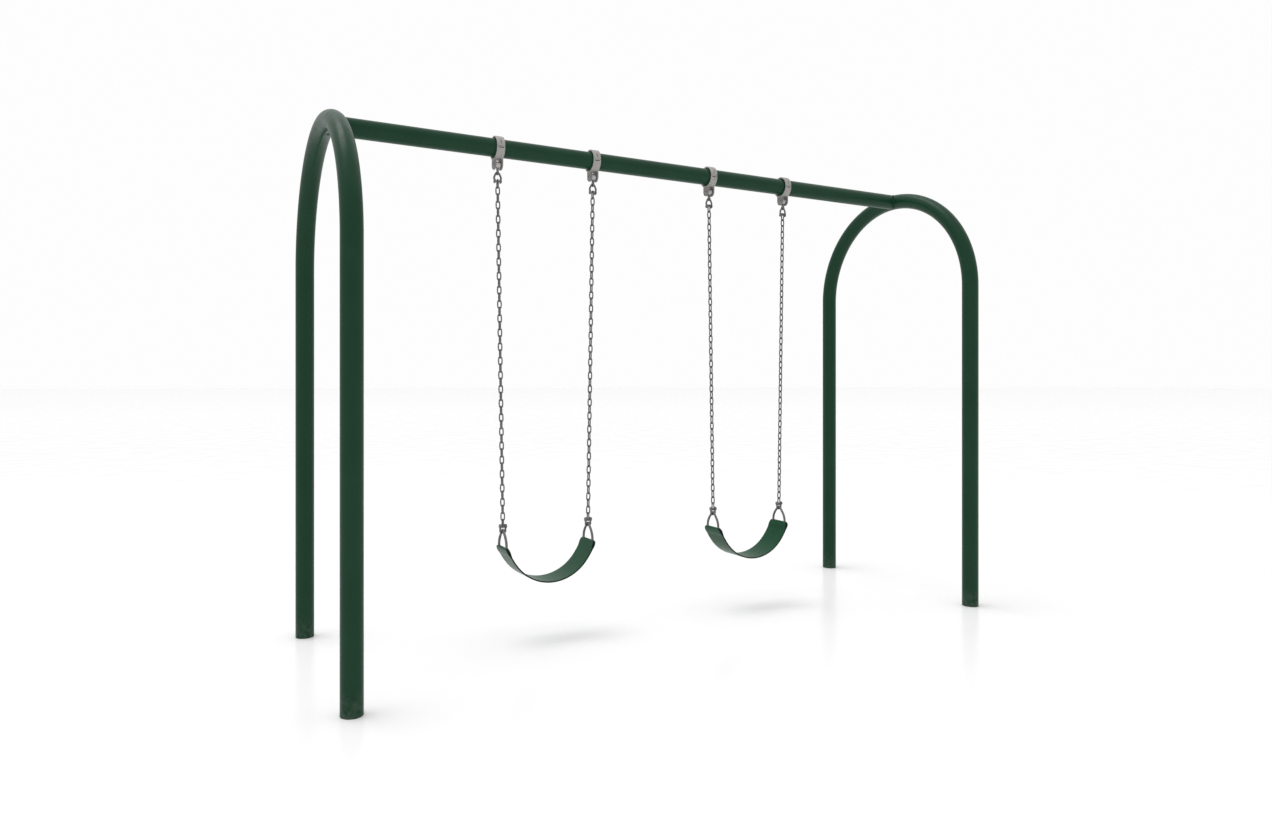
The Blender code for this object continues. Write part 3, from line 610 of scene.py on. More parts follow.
def piece(name, mesh, slot, body, nodes=(), matrix=None, sharp=32.0):
    """Place a mesh as a piece that rides on a body and stands for CAD nodes."""
    own = mesh.copy()
    own.use_fake_user = False
    own.name = name
    if matrix is not None:
        own.transform(matrix)
    own.shade_smooth()
    own.set_sharp_from_angle(angle=radians(sharp))
    own.materials.clear()
    own.materials.append(MATERIALS[slot])
    made = placed(name, own)
    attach(made, body)
    if nodes:
        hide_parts(*nodes)
    return made


def finished(bm):
    """A mesh straight from a bmesh."""
    return mesh_of(draft(bm))


# ---- frame ---------------------------------------------------------------------------------------
def leg_stops():
    """Heights along a leg: close together at the chamfered foot, then even."""
    return [0.0, FOOT_CHAMFER, *np.linspace(0.02, spring_height, 24)[:-1]]


def arch_mesh(x):
    up = [Vector((x, -arch_radius, z)) for z in leg_stops()]
    turns = [pi * k / BEND_STEPS for k in range(BEND_STEPS + 1)]
    bend = [Vector((x, -arch_radius * cos(a), spring_height + arch_radius * sin(a))) for a in turns]
    down = [Vector((x, arch_radius, z)) for z in reversed(leg_stops())]
    path = up + bend + down
    outer = [pipe_radius] * len(path)
    outer[0] = outer[-1] = pipe_radius - FOOT_CHAMFER
    inner = pipe_radius - PIPE_WALL
    bm = bmesh.new()
    across = Vector((1, 0, 0))
    shells = [sweep_rings(bm, path, across, radii, PIPE_SIDES, False) for radii in (outer, inner)]
    tube_faces(bm, *shells)
    return finished(bm)


def cope(y, z, soften):
    """Distance from the arch's plane to its surface, at a point of the rail."""
    beyond = sqrt(y * y + (z - spring_height) ** 2) - arch_radius
    return sqrt(max(pipe_radius ** 2 - beyond ** 2, 0.0) + (soften * pipe_radius) ** 2)


def rail_mesh():
    bm = bmesh.new()
    stops = np.linspace(-1, 1, 61)
    shells = []
    for radius in (pipe_radius, pipe_radius - PIPE_WALL):
        rings = []
        for t in stops:
            ring = []
            for k in range(PIPE_SIDES):
                turn = 2 * pi * k / PIPE_SIDES
                y, z = radius * cos(turn), rail_height + radius * sin(turn)
                reach = arch_x - max(cope(y, z, 0.0) - RAIL_END_SETBACK, RAIL_END_LEAST)
                ring.append(bm.verts.new((t * reach, y, z)))
            rings.append(ring)
        shells.append(rings)
    tube_faces(bm, *shells)
    return finished(bm)


def weld_mesh(side):
    """The fillet weld round the rail's end, thinner where the two pipes run into each other."""
    ripples = int(2 * pi * pipe_radius * 1.2 / WELD_RIPPLE)
    count = ripples * 6
    path, normals, radii = [], [], []
    for k in range(count):
        turn = 2 * pi * k / count
        out = Vector((0, cos(turn), sin(turn)))
        y, z = pipe_radius * out.y, rail_height + pipe_radius * out.z
        path.append(Vector((side * (arch_x - cope(y, z, WELD_SOFTEN) - WELD_SETBACK), y, z)))
        normals.append(out)
        full = WELD_RADIUS * (1 + 0.09 * cos(2 * pi * k / 6) + 0.05 * sin(7 * turn))
        radii.append(full * (0.22 + 0.78 * min(abs(cos(turn)) * 1.7, 1.0)))
    bm = bmesh.new()
    sweep(bm, path, normals, radii, 12, closed=True)
    return finished(bm)


def spigot_mesh(side):
    """The tube inside the rail's end, coped to the arch and chamfered at its free end."""
    outer = pipe_radius - PIPE_WALL - GAP
    far = arch_x - pipe_radius - SPIGOT_LENGTH
    bm = bmesh.new()
    shells = []
    for radius, chamfer in ((outer, FOOT_CHAMFER), (outer - SPIGOT_WALL, 0.0)):
        rings = []
        for t in (0.0, 0.05, 0.5, 1.0):
            ring = []
            for k in range(PIPE_SIDES):
                turn = 2 * pi * k / PIPE_SIDES
                y, z = radius * cos(turn), radius * sin(turn)
                near = arch_x - cope(y, rail_height + z, 0.0) - GAP
                shrink = 1 - chamfer / radius if t == 0.0 else 1.0
                x = side * (far + t * (near - far))
                ring.append(bm.verts.new((x, y * shrink, rail_height + z * shrink)))
            rings.append(ring)
        shells.append(rings)
    tube_faces(bm, *shells)
    return finished(bm)


def make_frame():
    for name, side in (("left", -1), ("right", 1)):
        arch = arch_mesh(side * arch_x)
        piece(f"arch_pipe_{name}", arch, "powder_coat", "frame", [f"arch_{name}"])
        piece(f"weld_bead_{name}", weld_mesh(side), "powder_coat", "frame")
        spigot = f"rail_spigot_{name}"
        piece(f"spigot_tube_{name}", spigot_mesh(side), "fastener", "frame", [spigot])
    piece("rail_pipe", rail_mesh(), "powder_coat", "frame", ["top_rail"])


# ---- hanger --------------------------------------------------------------------------------------
# Clamp shapes are drawn with the rail's centre at (0, 0) of the (y, z) outline.
clamp_side = pipe_radius + CLAMP_SIDE_WALL
clamp_crown = pipe_radius + CLAMP_TOP_WALL - clamp_side
screw_offset = pipe_radius + CLAMP_SIDE_WALL / 2 + GAP


def rail_bore():
    """The bore's cutter, with mouths that flare out to the clamp's faces and past them."""
    bm = bmesh.new()
    bore, face, ease = pipe_radius + GAP, CLAMP_WIDTH / 2, FLARE_EASE
    ends = [(face * 2, bore + FLARE_RISE * (1 + face / FLARE_DEPTH)),
            (face - FLARE_DEPTH + ease, bore + ease * FLARE_RISE / FLARE_DEPTH),
            (face - FLARE_DEPTH - ease, bore)]
    turned(bm, [(-x, radius) for x, radius in ends] + list(reversed(ends)), 96)
    return bm


def upright(bm, y, low, high, radius, sides=32):
    sweep(bm, [Vector((0, y, low)), Vector((0, y, high))], Vector((1, 0, 0)), radius, sides)


def cap_mesh():
    half = [(0.0, GAP), (clamp_side, GAP), *arc((0, clamp_crown), clamp_side, 0, 90, 28)]
    half[-1] = (0.0, half[-1][1])
    bm = bmesh.new()
    slab(bm, mirrored(half), -CLAMP_WIDTH / 2, CLAMP_WIDTH / 2)
    cap = rounded(draft(bm), CAST_ROUND)
    cut(cap, rail_bore())
    for side in (-1, 1):
        bm = bmesh.new()
        upright(bm, side * screw_offset, -0.01, SCREW_SEAT_RISE + GAP, SCREW_RADIUS + GAP)
        cut(cap, bm)
        bm = bmesh.new()
        upright(bm, side * screw_offset, SCREW_SEAT_RISE, pipe_radius * 2, SCREW_HEAD_RADIUS + GAP)
        cut(cap, bm)
    return edge_wear(mesh_of(cap))


def yoke_outline():
    turns = np.linspace(0, pi / 2, 15)
    lobe = [(LOBE_RADIUS * sin(a), -pivot_drop - LOBE_RADIUS * cos(a)) for a in turns]
    across = LOBE_RADIUS + YOKE_FILLET
    down = sqrt((clamp_side + YOKE_FILLET) ** 2 - across ** 2)
    turn = degrees(atan2(down, across))
    fillet = arc((across, -YOKE_STRAIGHT - down), YOKE_FILLET, 180, 180 - turn, 8)
    side = arc((0, -YOKE_STRAIGHT), clamp_side, -turn, 0, 24)
    half = [(0.0, lobe[0][1]), *lobe[1:], *fillet, *side[1:], (clamp_side, 0.0), (0.0, 0.0)]
    return mirrored(half)


def yoke_mesh():
    bm = bmesh.new()
    slab(bm, yoke_outline(), -CLAMP_WIDTH / 2, CLAMP_WIDTH / 2)
    yoke = rounded(draft(bm), CAST_ROUND)
    cut(yoke, rail_bore())
    pocket = CLAMP_WIDTH / 2 - CHEEK_WALL
    bm = bmesh.new()
    low, high = (-clamp_side * 2, -pivot_drop * 2), (clamp_side * 2, -pipe_radius - SADDLE_WALL)
    slab(bm, box_outline(low, high), -pocket, pocket)
    cut(yoke, bm, POCKET_ROUND)
    for side in (-1, 1):
        bm = bmesh.new()
        ends = sorted((side * (clamp_side - MARK_DEPTH), side * clamp_side * 2))
        low, high = (ends[0], -MARK_DROP - MARK_HEIGHT / 2), (ends[1], -MARK_DROP + MARK_HEIGHT / 2)
        slab(bm, box_outline(low, high), -MARK_LENGTH / 2, MARK_LENGTH / 2)
        cut(yoke, bm, MARK_ROUND)
        bm = bmesh.new()
        upright(bm, side * screw_offset, -SCREW_REACH - 2 * GAP, 0.01, SCREW_RADIUS + GAP)
        cut(yoke, bm)
    bored(yoke, CLAMP_WIDTH, BOLT_RADIUS + GAP, 48, (0, 0, -pivot_drop))
    # the slots' floors are stored for painted shade
    return painted(edge_wear(mesh_of(yoke)), "grime_and_painted_shade", in_mark)


def in_mark(place):
    """1 on the floor of the cast slots, where painted shade goes, 0 elsewhere."""
    deep = clamp_side - MARK_DEPTH * 1.1 < abs(place.y) < clamp_side - MARK_DEPTH * 0.6
    high = abs(place.z + MARK_DROP) < MARK_HEIGHT * 0.6
    return 1.0 if deep and high and abs(place.x) < MARK_LENGTH * 0.6 else 0.0


def hex_socket(made, x, depth, across, centre=(0.0, 0.0, 0.0)):
    """Cut a hexagonal socket, depth deep and across wide, into a head that faces along X."""
    bm = bmesh.new()
    corner = across / sqrt(3)
    turned(bm, [(x - depth, corner), (x + depth, corner)], 6, centre)
    return cut(made, bm)


def screw_mesh():
    seat = SCREW_SEAT_RISE + GAP
    top = seat + SCREW_HEAD_HEIGHT
    bm = bmesh.new()
    turned(bm, [(-SCREW_REACH, SCREW_RADIUS - SCREW_CHAMFER),
                (-SCREW_REACH + SCREW_CHAMFER, SCREW_RADIUS),
                (seat, SCREW_RADIUS), (seat, SCREW_HEAD_RADIUS),
                (top - SCREW_CHAMFER, SCREW_HEAD_RADIUS),
                (top, SCREW_HEAD_RADIUS - SCREW_CHAMFER)], 40)
    mesh = mesh_of(hex_socket(draft(bm), top, *SCREW_SOCKET))
    mesh.transform(Matrix.Rotation(-pi / 2, 4, "Y"))
    return mesh


def domed_head(face, radius, height):
    """Profile of a low dome from its seat outwards."""
    points = [(face, radius)]
    for k in range(1, 7):
        a = k / 6 * pi / 2 * 0.8
        points.append((face + height * sin(a) / sin(pi / 2 * 0.8), radius * (0.62 + 0.38 * cos(a))))
    return points


def bolt_mesh():
    face = CLAMP_WIDTH / 2 + GAP
    dome = domed_head(face, BOLT_HEAD_RADIUS, BOLT_HEAD_HEIGHT)
    far_dome = [(-x, radius) for x, radius in reversed(dome)]
    profile = [*far_dome, (-face, BOLT_RADIUS), (face, BOLT_RADIUS), *dome]
    bm = bmesh.new()
    turned(bm, profile, 48)
    bolt = draft(bm)
    for side in (-1, 1):
        hex_socket(bolt, side * (face + BOLT_HEAD_HEIGHT), *BOLT_SOCKET)
    return mesh_of(bolt)


hub_half = CLAMP_WIDTH / 2 - CHEEK_WALL - GAP
bush_outer = BOLT_RADIUS + GAP + BUSH_WALL


def bush_mesh():
    bm = bmesh.new()
    drum(bm, -hub_half, hub_half, bush_outer, BUSH_CHAMFER, 48)
    return mesh_of(bored(draft(bm), 2 * hub_half, BOLT_RADIUS + GAP, 48))


def pendulum_mesh():
    """Hub, tapered shank and eye, drawn about the pivot."""
    bm = bmesh.new()
    drum(bm, -hub_half, hub_half, HUB_RADIUS, HUB_CHAMFER, 72)
    half = SHANK_DEPTH / 2
    top_z, foot_z = -HUB_RADIUS / 2, -EYE_DROP + EYE_RADIUS * 0.8
    shank = [(-2 * half, top_z), (-half, foot_z), (half, foot_z), (2 * half, top_z)]
    slab(bm, shank, -SHANK_WIDTH / 2, SHANK_WIDTH / 2)
    eye_half = EYE_THICKNESS / 2
    turned(bm, [(-eye_half, EYE_RADIUS), (eye_half, EYE_RADIUS)], 48, (0, 0, -EYE_DROP))
    pendulum = forged(bm, 6)
    mouth = [(eye_half - inward, EYE_HOLE_RADIUS + wider) for inward, wider in EYE_MOUTH]
    bm = bmesh.new()
    turned(bm, [(-x, radius) for x, radius in reversed(mouth)] + mouth, 48, (0, 0, -EYE_DROP))
    cut(pendulum, bm)
    mesh = mesh_of(bored(pendulum, CLAMP_WIDTH, bush_outer + GAP, 64))
    rim = Vector((0, 0, -EYE_DROP))

    def rubbed(place):
        hub = 1.0 - (sqrt(place.y ** 2 + place.z ** 2) - HUB_RADIUS) / HUB_RUB_REACH
        return max(1.4 - ((place - rim).length - EYE_HOLE_RADIUS) / EYE_RUB_REACH, hub)

    return painted(mesh, "wear", rubbed)


def hanger_x(tag):
    low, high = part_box(f"clamp_yoke_{tag}")
    return (low.x + high.x) / 2


def make_hangers():
    cap, yoke, screw = cap_mesh(), yoke_mesh(), screw_mesh()
    bolt, bush, pendulum = bolt_mesh(), bush_mesh(), pendulum_mesh()
    for tag in TAGS:
        at_rail = Matrix.Translation((hanger_x(tag), 0, rail_height))
        at_pivot = Matrix.Translation((hanger_x(tag), 0, pivot_height))
        swinging = f"hangers_{tag[0]}"
        piece(f"cap_{tag}", cap, "clamp_casting", "frame", [f"clamp_cap_{tag}"], at_rail)
        piece(f"yoke_{tag}", yoke, "clamp_casting", "frame", [f"clamp_yoke_{tag}"], at_rail)
        for name, side in (("front", -1), ("back", 1)):
            place = at_rail @ Matrix.Translation((0, side * screw_offset, 0))
            node = f"clamp_screw_{name}_{tag}"
            piece(f"cap_screw_{name}_{tag}", screw, "fastener", "frame", [node], place)
        piece(f"bolt_{tag}", bolt, "fastener", "frame", [f"pivot_bolt_{tag}"], at_pivot)
        piece(f"bush_{tag}", bush, "bronze", swinging, [f"pivot_bush_{tag}"], at_pivot)
        piece(f"swing_eye_{tag}", pendulum, "galvanised", swinging, [f"pendulum_{tag}"], at_pivot)


# ---- shackles ------------------------------------------------------------------------------------
def smooth_path(points, steps=6, closed=False):
    """A Catmull-Rom curve through 3-D points."""
    count = len(points)
    made = []
    spans = count if closed else count - 1
    for i in range(spans):
        if closed:
            p = [points[(i + k) % count] for k in (-1, 0, 1, 2)]
        else:
            p = [points[max(i - 1, 0)], points[i], points[i + 1], points[min(i + 2, count - 1)]]
        for k in range(steps):
            t = k / steps
            made.append(0.5 * (2 * p[1] + (p[2] - p[0]) * t
                               + (2 * p[0] - 5 * p[1] + 4 * p[2] - p[3]) * t ** 2
                               + (3 * p[1] - p[0] - 3 * p[2] + p[3]) * t ** 3))
    return made if closed else [*made, points[-1]]


def shackle_mesh(half, wire_radius, ear, pin_z, bow_z):
    """A forged shackle from the right half of its wire, with an ear each side for the pin."""
    offset, thickness, ear_radius, pin_radius = ear
    route = [(-u, v) for u, v in reversed(half[1:])] + half
    path = smooth_path([Vector((u, 0, v)) for u, v in route])
    bm = bmesh.new()
    sweep(bm, path, Vector((0, 1, 0)), wire_radius, 24)
    for side in (-1, 1):
        low, high = side * offset - thickness / 2, side * offset + thickness / 2
        drum(bm, low, high, ear_radius, EAR_CHAMFER, 40, (0, 0, pin_z))
    mesh = mesh_of(bored(forged(bm, 4), 2 * offset, pin_radius + GAP, 40, (0, 0, pin_z)))
    inside = Vector((0, 0, bow_z))
    return painted(mesh, "wear", lambda p: 1.3 - (p - inside).length / BOW_RUB_REACH)


def upper_shackle_mesh():
    """Drawn about the centre of its bow."""
    top = arc((0, 0), UPPER_BOW_RADIUS, 90, 34, 5)
    side = [(across * UPPER_SHOULDER, -down * UPPER_PIN_DROP) for across, down in UPPER_SIDE]
    ear_top = (UPPER_EAR_OFFSET + UPPER_WIRE_RADIUS / 10, UPPER_EAR_RADIUS * 0.75 - UPPER_PIN_DROP)
    ear = (UPPER_EAR_OFFSET, UPPER_EAR_THICKNESS, UPPER_EAR_RADIUS, UPPER_PIN_RADIUS)
    bow_z = UPPER_BOW_RADIUS - UPPER_WIRE_RADIUS
    return shackle_mesh([*top, *side, ear_top], UPPER_WIRE_RADIUS, ear, -UPPER_PIN_DROP, bow_z)


def lower_shackle_mesh():
    """Drawn about its pin's axis, bow downwards."""
    corner_centre = (LOWER_EAR_OFFSET - LOWER_CORNER_RADIUS, LOWER_CORNER_RADIUS - lower_bow_drop)
    corner = arc(corner_centre, LOWER_CORNER_RADIUS, -90, 0, 4)
    half = [(0.0, -lower_bow_drop), *corner, (LOWER_EAR_OFFSET, -LOWER_EAR_RADIUS * 0.4)]
    ear = (LOWER_EAR_OFFSET, LOWER_EAR_THICKNESS, LOWER_EAR_RADIUS, LOWER_PIN_RADIUS)
    return shackle_mesh(half, LOWER_WIRE_RADIUS, ear, 0.0, LOWER_WIRE_RADIUS - lower_bow_drop)


def pin_mesh(radius, face, head, height, z):
    """A shackle pin with a domed, socketed head and a peened tail."""
    profile = [(-face - PIN_TAIL, radius * 0.55), (-face - PIN_TAIL * 0.7, radius * 0.85),
               (-face - PIN_TAIL * 0.25, radius), (face, radius), (face, head - PIN_CHAMFER),
               (face + PIN_CHAMFER, head), (face + height * 0.62, head),
               (face + height * 0.88, head * 0.91), (face + height, head * 0.76)]
    bm = bmesh.new()
    turned(bm, profile, 40, (0, 0, z))
    return mesh_of(hex_socket(draft(bm), face + height, height * 0.6, radius * 1.3, (0, 0, z)))


# ---- chain ---------------------------------------------------------------------------------------
def link_path(pitch):
    """Centre line (across, along) of one link: round ends and slightly bowed sides."""
    half_width = (LINK_WIDTH - CHAIN_WIRE) / 2
    half_length = (pitch + CHAIN_WIRE) / 2
    end = LINK_END_RADIUS
    rise = half_length - end
    side = (half_width ** 2 + rise ** 2 - end ** 2) / (2 * (half_width - end))
    corner = atan2(rise, side - half_width)
    end_arc = [(end * cos(a), rise + end * sin(a)) for a in np.linspace(pi / 2, corner, 9)]
    side_turns = np.linspace(corner, 0, 5)[1:]
    side_arc = [(half_width - side + side * cos(a), side * sin(a)) for a in side_turns]
    quarter = end_arc + side_arc
    right = quarter + [(u, -v) for u, v in reversed(quarter[:-1])]
    return right + [(-u, v) for u, v in reversed(right[1:-1])]


def add_link(bm, wear, centre, turn, pitch):
    """One closed link with its butt weld on one side."""
    outline = link_path(pitch)
    across = Vector((cos(turn), sin(turn), 0))
    normal = Vector((-sin(turn), cos(turn), 0))
    path = [centre + across * u + Vector((0, 0, v)) for u, v in outline]
    half_width = (LINK_WIDTH - CHAIN_WIRE) / 2
    radii = []
    for u, v in outline:
        on_weld_side = u > half_width * 0.8
        weld = LINK_WELD_RISE * max(1 - abs(v) / LINK_WELD_HALF, 0.0) if on_weld_side else 0.0
        radii.append(CHAIN_WIRE / 2 * (LINK_SLIM + weld))
    rings = sweep(bm, path, normal, radii, LINK_SIDES, closed=True)
    bearing = pitch / 2
    for ring in rings:
        for vertex in ring:
            place = vertex.co - centre
            sideways = sqrt(place.x ** 2 + place.y ** 2)
            end = min(abs(place.z - bearing), abs(place.z + bearing))
            vertex[wear] = min(max(1.25 - (end + sideways * 0.55) / LINK_RUB_REACH, 0.0), 1.0)


def chain_mesh(length, first_turn):
    """All the links of one chain, in the frame of its upper shackle."""
    pitch = (length + UPPER_PIN_RADIUS + LOWER_PIN_RADIUS) / LINKS
    first = UPPER_PIN_RADIUS - pitch / 2 - UPPER_PIN_DROP
    bm = bmesh.new()
    wear = bm.verts.layers.float.new("wear")
    for link in range(LINKS):
        turn = first_turn + (pi / 2) * (link % 2)
        add_link(bm, wear, Vector((0, 0, first - link * pitch)), turn, pitch)
    return finished(bm)


def make_suspensions():
    shackle, foot_shackle = upper_shackle_mesh(), lower_shackle_mesh()
    face = UPPER_EAR_OFFSET + UPPER_EAR_THICKNESS / 2 + GAP
    head = (UPPER_HEAD_RADIUS, UPPER_HEAD_HEIGHT)
    upper_pin = pin_mesh(UPPER_PIN_RADIUS, face, *head, -UPPER_PIN_DROP)
    face = LOWER_EAR_OFFSET + LOWER_EAR_THICKNESS / 2 + GAP
    lower_pin = pin_mesh(LOWER_PIN_RADIUS, face, LOWER_HEAD_RADIUS, LOWER_HEAD_HEIGHT, 0.0)
    for tag in TAGS:
        bow, pin = joint_place[f"sway_{tag}"], joint_place[f"tilt_{tag}"]
        down = pin - bow
        lean = atan2(-down.x, -down.z)
        at_bow = Matrix.Translation(bow) @ Matrix.Rotation(lean, 4, "Y")
        at_foot = Matrix.Translation(pin)
        chain = chain_mesh(down.length - UPPER_PIN_DROP, pi / 2)
        hanging, foot_body = f"suspension_{tag}", f"foot_{tag}"
        piece(f"bow_shackle_{tag}", shackle, "galvanised", hanging, [f"upper_shackle_{tag}"], at_bow)
        piece(f"bow_shackle_pin_{tag}", upper_pin, "fastener", hanging, [f"upper_pin_{tag}"], at_bow)
        piece(f"chain_links_{tag}", chain, "galvanised", hanging, [f"chain_{tag}"], at_bow)
        node = f"lower_shackle_{tag}"
        piece(f"d_shackle_{tag}", foot_shackle, "galvanised", foot_body, [node], at_foot)
        node = f"lower_pin_{tag}"
        piece(f"d_shackle_pin_{tag}", lower_pin, "fastener", foot_body, [node], at_foot)


# ---- seat ----------------------------------------------------------------------------------------
def belt_mid(distance, low_z):
    """Point (x, z) and slope of the belt's mid surface, by distance from its lowest point."""
    x, z, slope, gone = 0.0, low_z + BELT_THICKNESS / 2, 0.0, 0.0
    for radius, end_slope in BELT_ARCS:
        end = radians(end_slope)
        length = radius * (end - slope)
        reach = min(max(distance - gone, 0.0), length)
        turned_to = slope + reach / radius
        x += radius * (sin(turned_to) - sin(slope))
        z += radius * (cos(slope) - cos(turned_to))
        gone += length
        if distance <= gone:
            return x, z, turned_to
        slope = end
    rest = distance - gone
    return x + rest * cos(slope), z + rest * sin(slope), slope


def belt_half_length():
    """Distance along the belt at which its mid surface is BELT_HALF_SPAN from the middle."""
    low, high = 0.0, BELT_HALF_SPAN * 3
    for _ in range(60):
        middle = (low + high) / 2
        if belt_mid(middle, 0.0)[0] < BELT_HALF_SPAN:
            low = middle
        else:
            high = middle
    return low


half_belt = belt_half_length()


def belt_half_thickness(distance):
    into_end = distance - (half_belt - BELT_END_LENGTH - BELT_TAPER)
    share = min(max(into_end / BELT_TAPER, 0.0), 1.0)
    eased = share * share * (3 - 2 * share)
    full = BELT_THICKNESS + (BELT_END_THICKNESS - BELT_THICKNESS) * eased
    nose = full / 2
    past = min(max(distance - half_belt + nose, 0.0) / nose, 0.999)
    return full / 2 * sqrt(1 - past ** 2)


def belt_half_width(distance):
    into_corner = max(distance - half_belt + BELT_CORNER_RADIUS, 0.0)
    lost = BELT_CORNER_RADIUS - sqrt(max(BELT_CORNER_RADIUS ** 2 - into_corner ** 2, 0.0))
    return BELT_WIDTH / 2 - lost


def belt_stops():
    """Distances from the middle, closer together round the end's corners and nose."""
    body = list(np.linspace(0, half_belt - BELT_CORNER_RADIUS, 70))
    corner = [half_belt - BELT_CORNER_RADIUS * (1 - sin(a)) for a in np.linspace(0, pi / 2, 26)[1:]]
    half = body + corner
    return [-s for s in reversed(half[1:])] + half


def belt_section(half_width, half_thickness):
    """Rounded section (across, up, rim): rim is 1 round the edges and 0 on the faces; it sets where
    painted shade goes.
    """
    radius = min(half_thickness * 0.92, half_width)
    flat_u, flat_v = half_width - radius, half_thickness - radius
    points = []
    for side in (1, -1):
        points += [(side * u, side * half_thickness, 0.0) for u in np.linspace(-flat_u, flat_u, 34)]
        for a in np.linspace(side * pi / 2, -side * pi / 2, 9)[1:-1]:
            v = flat_v + radius * sin(a) if a > 0 else -flat_v + radius * sin(a)
            points.append((side * (flat_u + radius * cos(a)), v, 1.0))
    return points


def belt_point(centre, low_z, distance, across, up):
    side = 1 if distance >= 0 else -1
    x, z, slope = belt_mid(abs(distance), low_z)
    return Vector((centre + side * (x - up * sin(slope)), across, z + up * cos(slope)))


def belt_mesh(centre, low_z):
    bm = bmesh.new()
    wear = bm.verts.layers.float.new("wear")
    grime_and_painted_shade = bm.verts.layers.float.new("grime_and_painted_shade")
    rings = []
    for s in belt_stops():
        section = belt_section(belt_half_width(abs(s)), belt_half_thickness(abs(s)))
        ring = []
        for across, up, rim in section:
            vertex = bm.verts.new(belt_point(centre, low_z, s, across, up))
            vertex[wear] = max(1 - abs(s) / SEATED_HALF, 0.0) * SEATED_RUB if up > 0 else 0.0
            # the rim value marks the belt's edges for painted shade
            vertex[grime_and_painted_shade] = rim
            ring.append(vertex)
        rings.append(ring)
    for lower, upper in zip(rings, rings[1:]):
        ring_faces(bm, lower, upper)
    bm.faces.new(rings[0])
    bm.faces.new(list(reversed(rings[-1])))
    belt = draft(bm)
    for side in (-1, 1):
        cut_dimple(belt, centre, low_z, side)
    return mesh_of(belt)


def cut_dimple(belt, centre, low_z, side):
    """A shallow oval recess on the belt's inner face near its end."""
    s = side * (half_belt - DIMPLE_FROM_END)
    surface = belt_half_thickness(abs(s))
    slope = belt_mid(abs(s), low_z)[2] * side
    bm = bmesh.new()
    bmesh.ops.create_uvsphere(bm, u_segments=48, v_segments=24, radius=1.0)
    size = (DIMPLE_HALF[0] * DIMPLE_SPREAD, DIMPLE_HALF[1] * DIMPLE_SPREAD, DIMPLE_RISE)
    bmesh.ops.scale(bm, verts=bm.verts, vec=size)
    bmesh.ops.rotate(bm, verts=bm.verts, matrix=Matrix.Rotation(-slope, 3, "Y"))
    lift = surface + DIMPLE_RISE - DIMPLE_DEPTH
    bmesh.ops.translate(bm, verts=bm.verts, vec=belt_point(centre, low_z, s, 0.0, lift))
    cut(belt, bm)


def triangle_mesh(apex, bar):
    """A closed wire loop from the shackle at its apex to the bar inside the belt's end."""
    down = bar - apex
    direction = down.normalized()
    drop_length = down.length
    half_width = TRIANGLE_WIDTH / 2
    corner = TRIANGLE_CORNER_RADIUS
    bow = TRIANGLE_APEX_RADIUS
    apex_turns = np.linspace(0, radians(TRIANGLE_APEX_TURN), 4)
    half = [(bow * sin(a), bow * (1 - cos(a))) for a in apex_turns]
    half += [(across * half_width, along * drop_length) for across, along in TRIANGLE_LEG]
    half += [(half_width - corner * (1 - cos(a)), drop_length - corner * (1 - sin(a)))
             for a in np.linspace(0, pi / 2, 6)]
    route = half + [(-u, v) for u, v in reversed(half[1:])]
    points = [apex + direction * v + Vector((0, u, 0)) for u, v in route]
    path = smooth_path(points, 7, closed=True)
    normal = direction.cross(Vector((0, 1, 0)))
    bm = bmesh.new()
    sweep(bm, path, normal, TRIANGLE_WIRE_RADIUS, 20, closed=True)
    return painted(finished(bm), "wear", lambda p: 1.2 - (p - apex).length / APEX_RUB_REACH)


def make_seats():
    for number in ("1", "2"):
        low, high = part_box(f"belt_seat_{number}")
        centre = (low.x + high.x) / 2
        body = f"seat_{number}"
        belt = belt_mesh(centre, low.z)
        piece(f"belt_{number}", belt, "belt_rubber", body, [f"belt_seat_{number}"], sharp=50.0)
        bar_x, bar_z, _ = belt_mid(half_belt - BAR_INSET, low.z)
        for letter, side in (("l", -1), ("r", 1)):
            tag = number + letter
            pin = joint_place[f"tilt_{tag}"]
            apex = pin - Vector((0, 0, apex_below_pin))
            bar = Vector((centre + side * bar_x, 0, bar_z))
            triangle = triangle_mesh(apex, bar)
            piece(f"seat_triangle_{tag}", triangle, "galvanised", body, [f"triangle_{tag}"])


# ---- studio --------------------------------------------------------------------------------------
FLOOR_HALF = 300.0
SUN_ENERGY = 0.95
SUN_ANGLE = 34.0              # degrees across: how soft the shadows are
SUN_FROM = (-0.26, 0.20, 1.0)
BACKGROUND = 0.985
SKY = ((0.0, 0.80), (0.20, 0.80), (0.50, 0.90), (0.80, 1.10))   # upward part of a ray, and grey


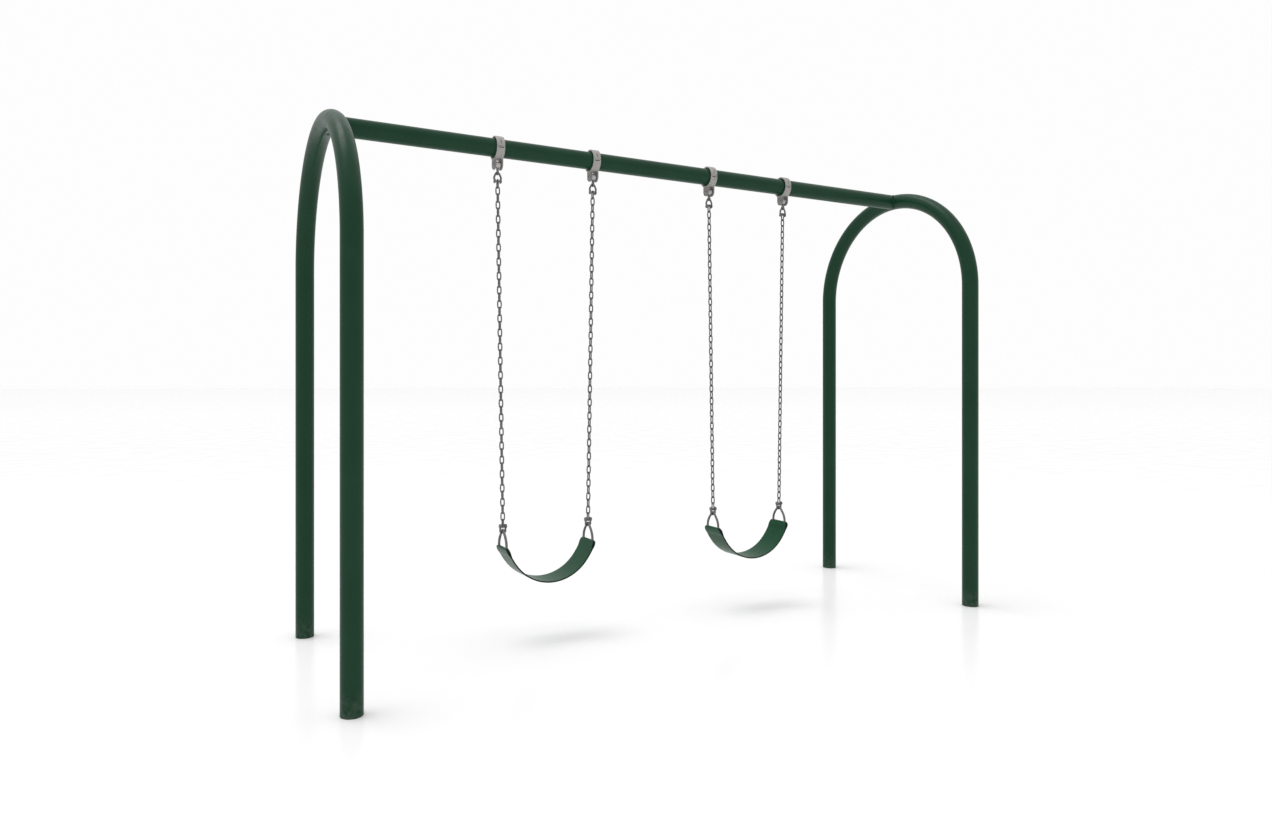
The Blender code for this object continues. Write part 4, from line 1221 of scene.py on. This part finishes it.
def make_studio():
    bm = bmesh.new()
    corners = box_outline((-FLOOR_HALF, -FLOOR_HALF), (FLOOR_HALF, FLOOR_HALF))
    bm.faces.new([bm.verts.new((x, y, 0.0)) for x, y in corners])
    floor_mesh = finished(bm)
    floor_mesh.materials.append(studio_floor())
    floor = placed("studio_floor", floor_mesh)

    sun = bpy.data.lights.new("soft_sun", "SUN")
    sun.energy = SUN_ENERGY
    sun.angle = radians(SUN_ANGLE)
    lamp = placed("soft_sun", sun)
    lamp.rotation_euler = Vector(SUN_FROM).to_track_quat("Z", "Y").to_euler()
    make_world()


def make_world():
    """White to the camera; as light, dim at the horizon and bright overhead."""
    world = bpy.data.worlds.new("studio")
    bpy.context.scene.world = world
    world.use_nodes = True
    nodes, links = world.node_tree.nodes, world.node_tree.links
    background = nodes["Background"]
    seen = nodes.new("ShaderNodeBackground")
    seen.inputs["Color"].default_value = (BACKGROUND, BACKGROUND, BACKGROUND, 1.0)
    place = nodes.new("ShaderNodeTexCoord")
    split = nodes.new("ShaderNodeSeparateXYZ")
    links.new(place.outputs["Generated"], split.inputs["Vector"])
    ramp = nodes.new("ShaderNodeValToRGB")
    links.new(split.outputs["Z"], ramp.inputs["Fac"])
    fill_ramp(ramp, SKY)
    links.new(ramp.outputs["Color"], background.inputs["Color"])
    rays = nodes.new("ShaderNodeLightPath")
    choice = nodes.new("ShaderNodeMixShader")
    links.new(rays.outputs["Is Camera Ray"], choice.inputs["Fac"])
    links.new(background.outputs["Background"], choice.inputs[1])
    links.new(seen.outputs["Background"], choice.inputs[2])
    links.new(choice.outputs["Shader"], nodes["World Output"].inputs["Surface"])


def make_camera():
    data = bpy.data.cameras.new("camera")
    data.lens = CAMERA_LENS
    data.shift_x, data.shift_y = CAMERA_SHIFT
    data.clip_end = 2 * FLOOR_HALF
    camera = placed("camera", data)
    camera.location = CAMERA_PLACE
    camera.rotation_euler = (pi / 2, 0.0, -radians(CAMERA_TURN))
    bpy.context.scene.camera = camera


make_camera()
make_studio()
make_frame()
make_hangers()
make_suspensions()
make_seats()
bpy.context.scene.view_settings.view_transform = "Standard"
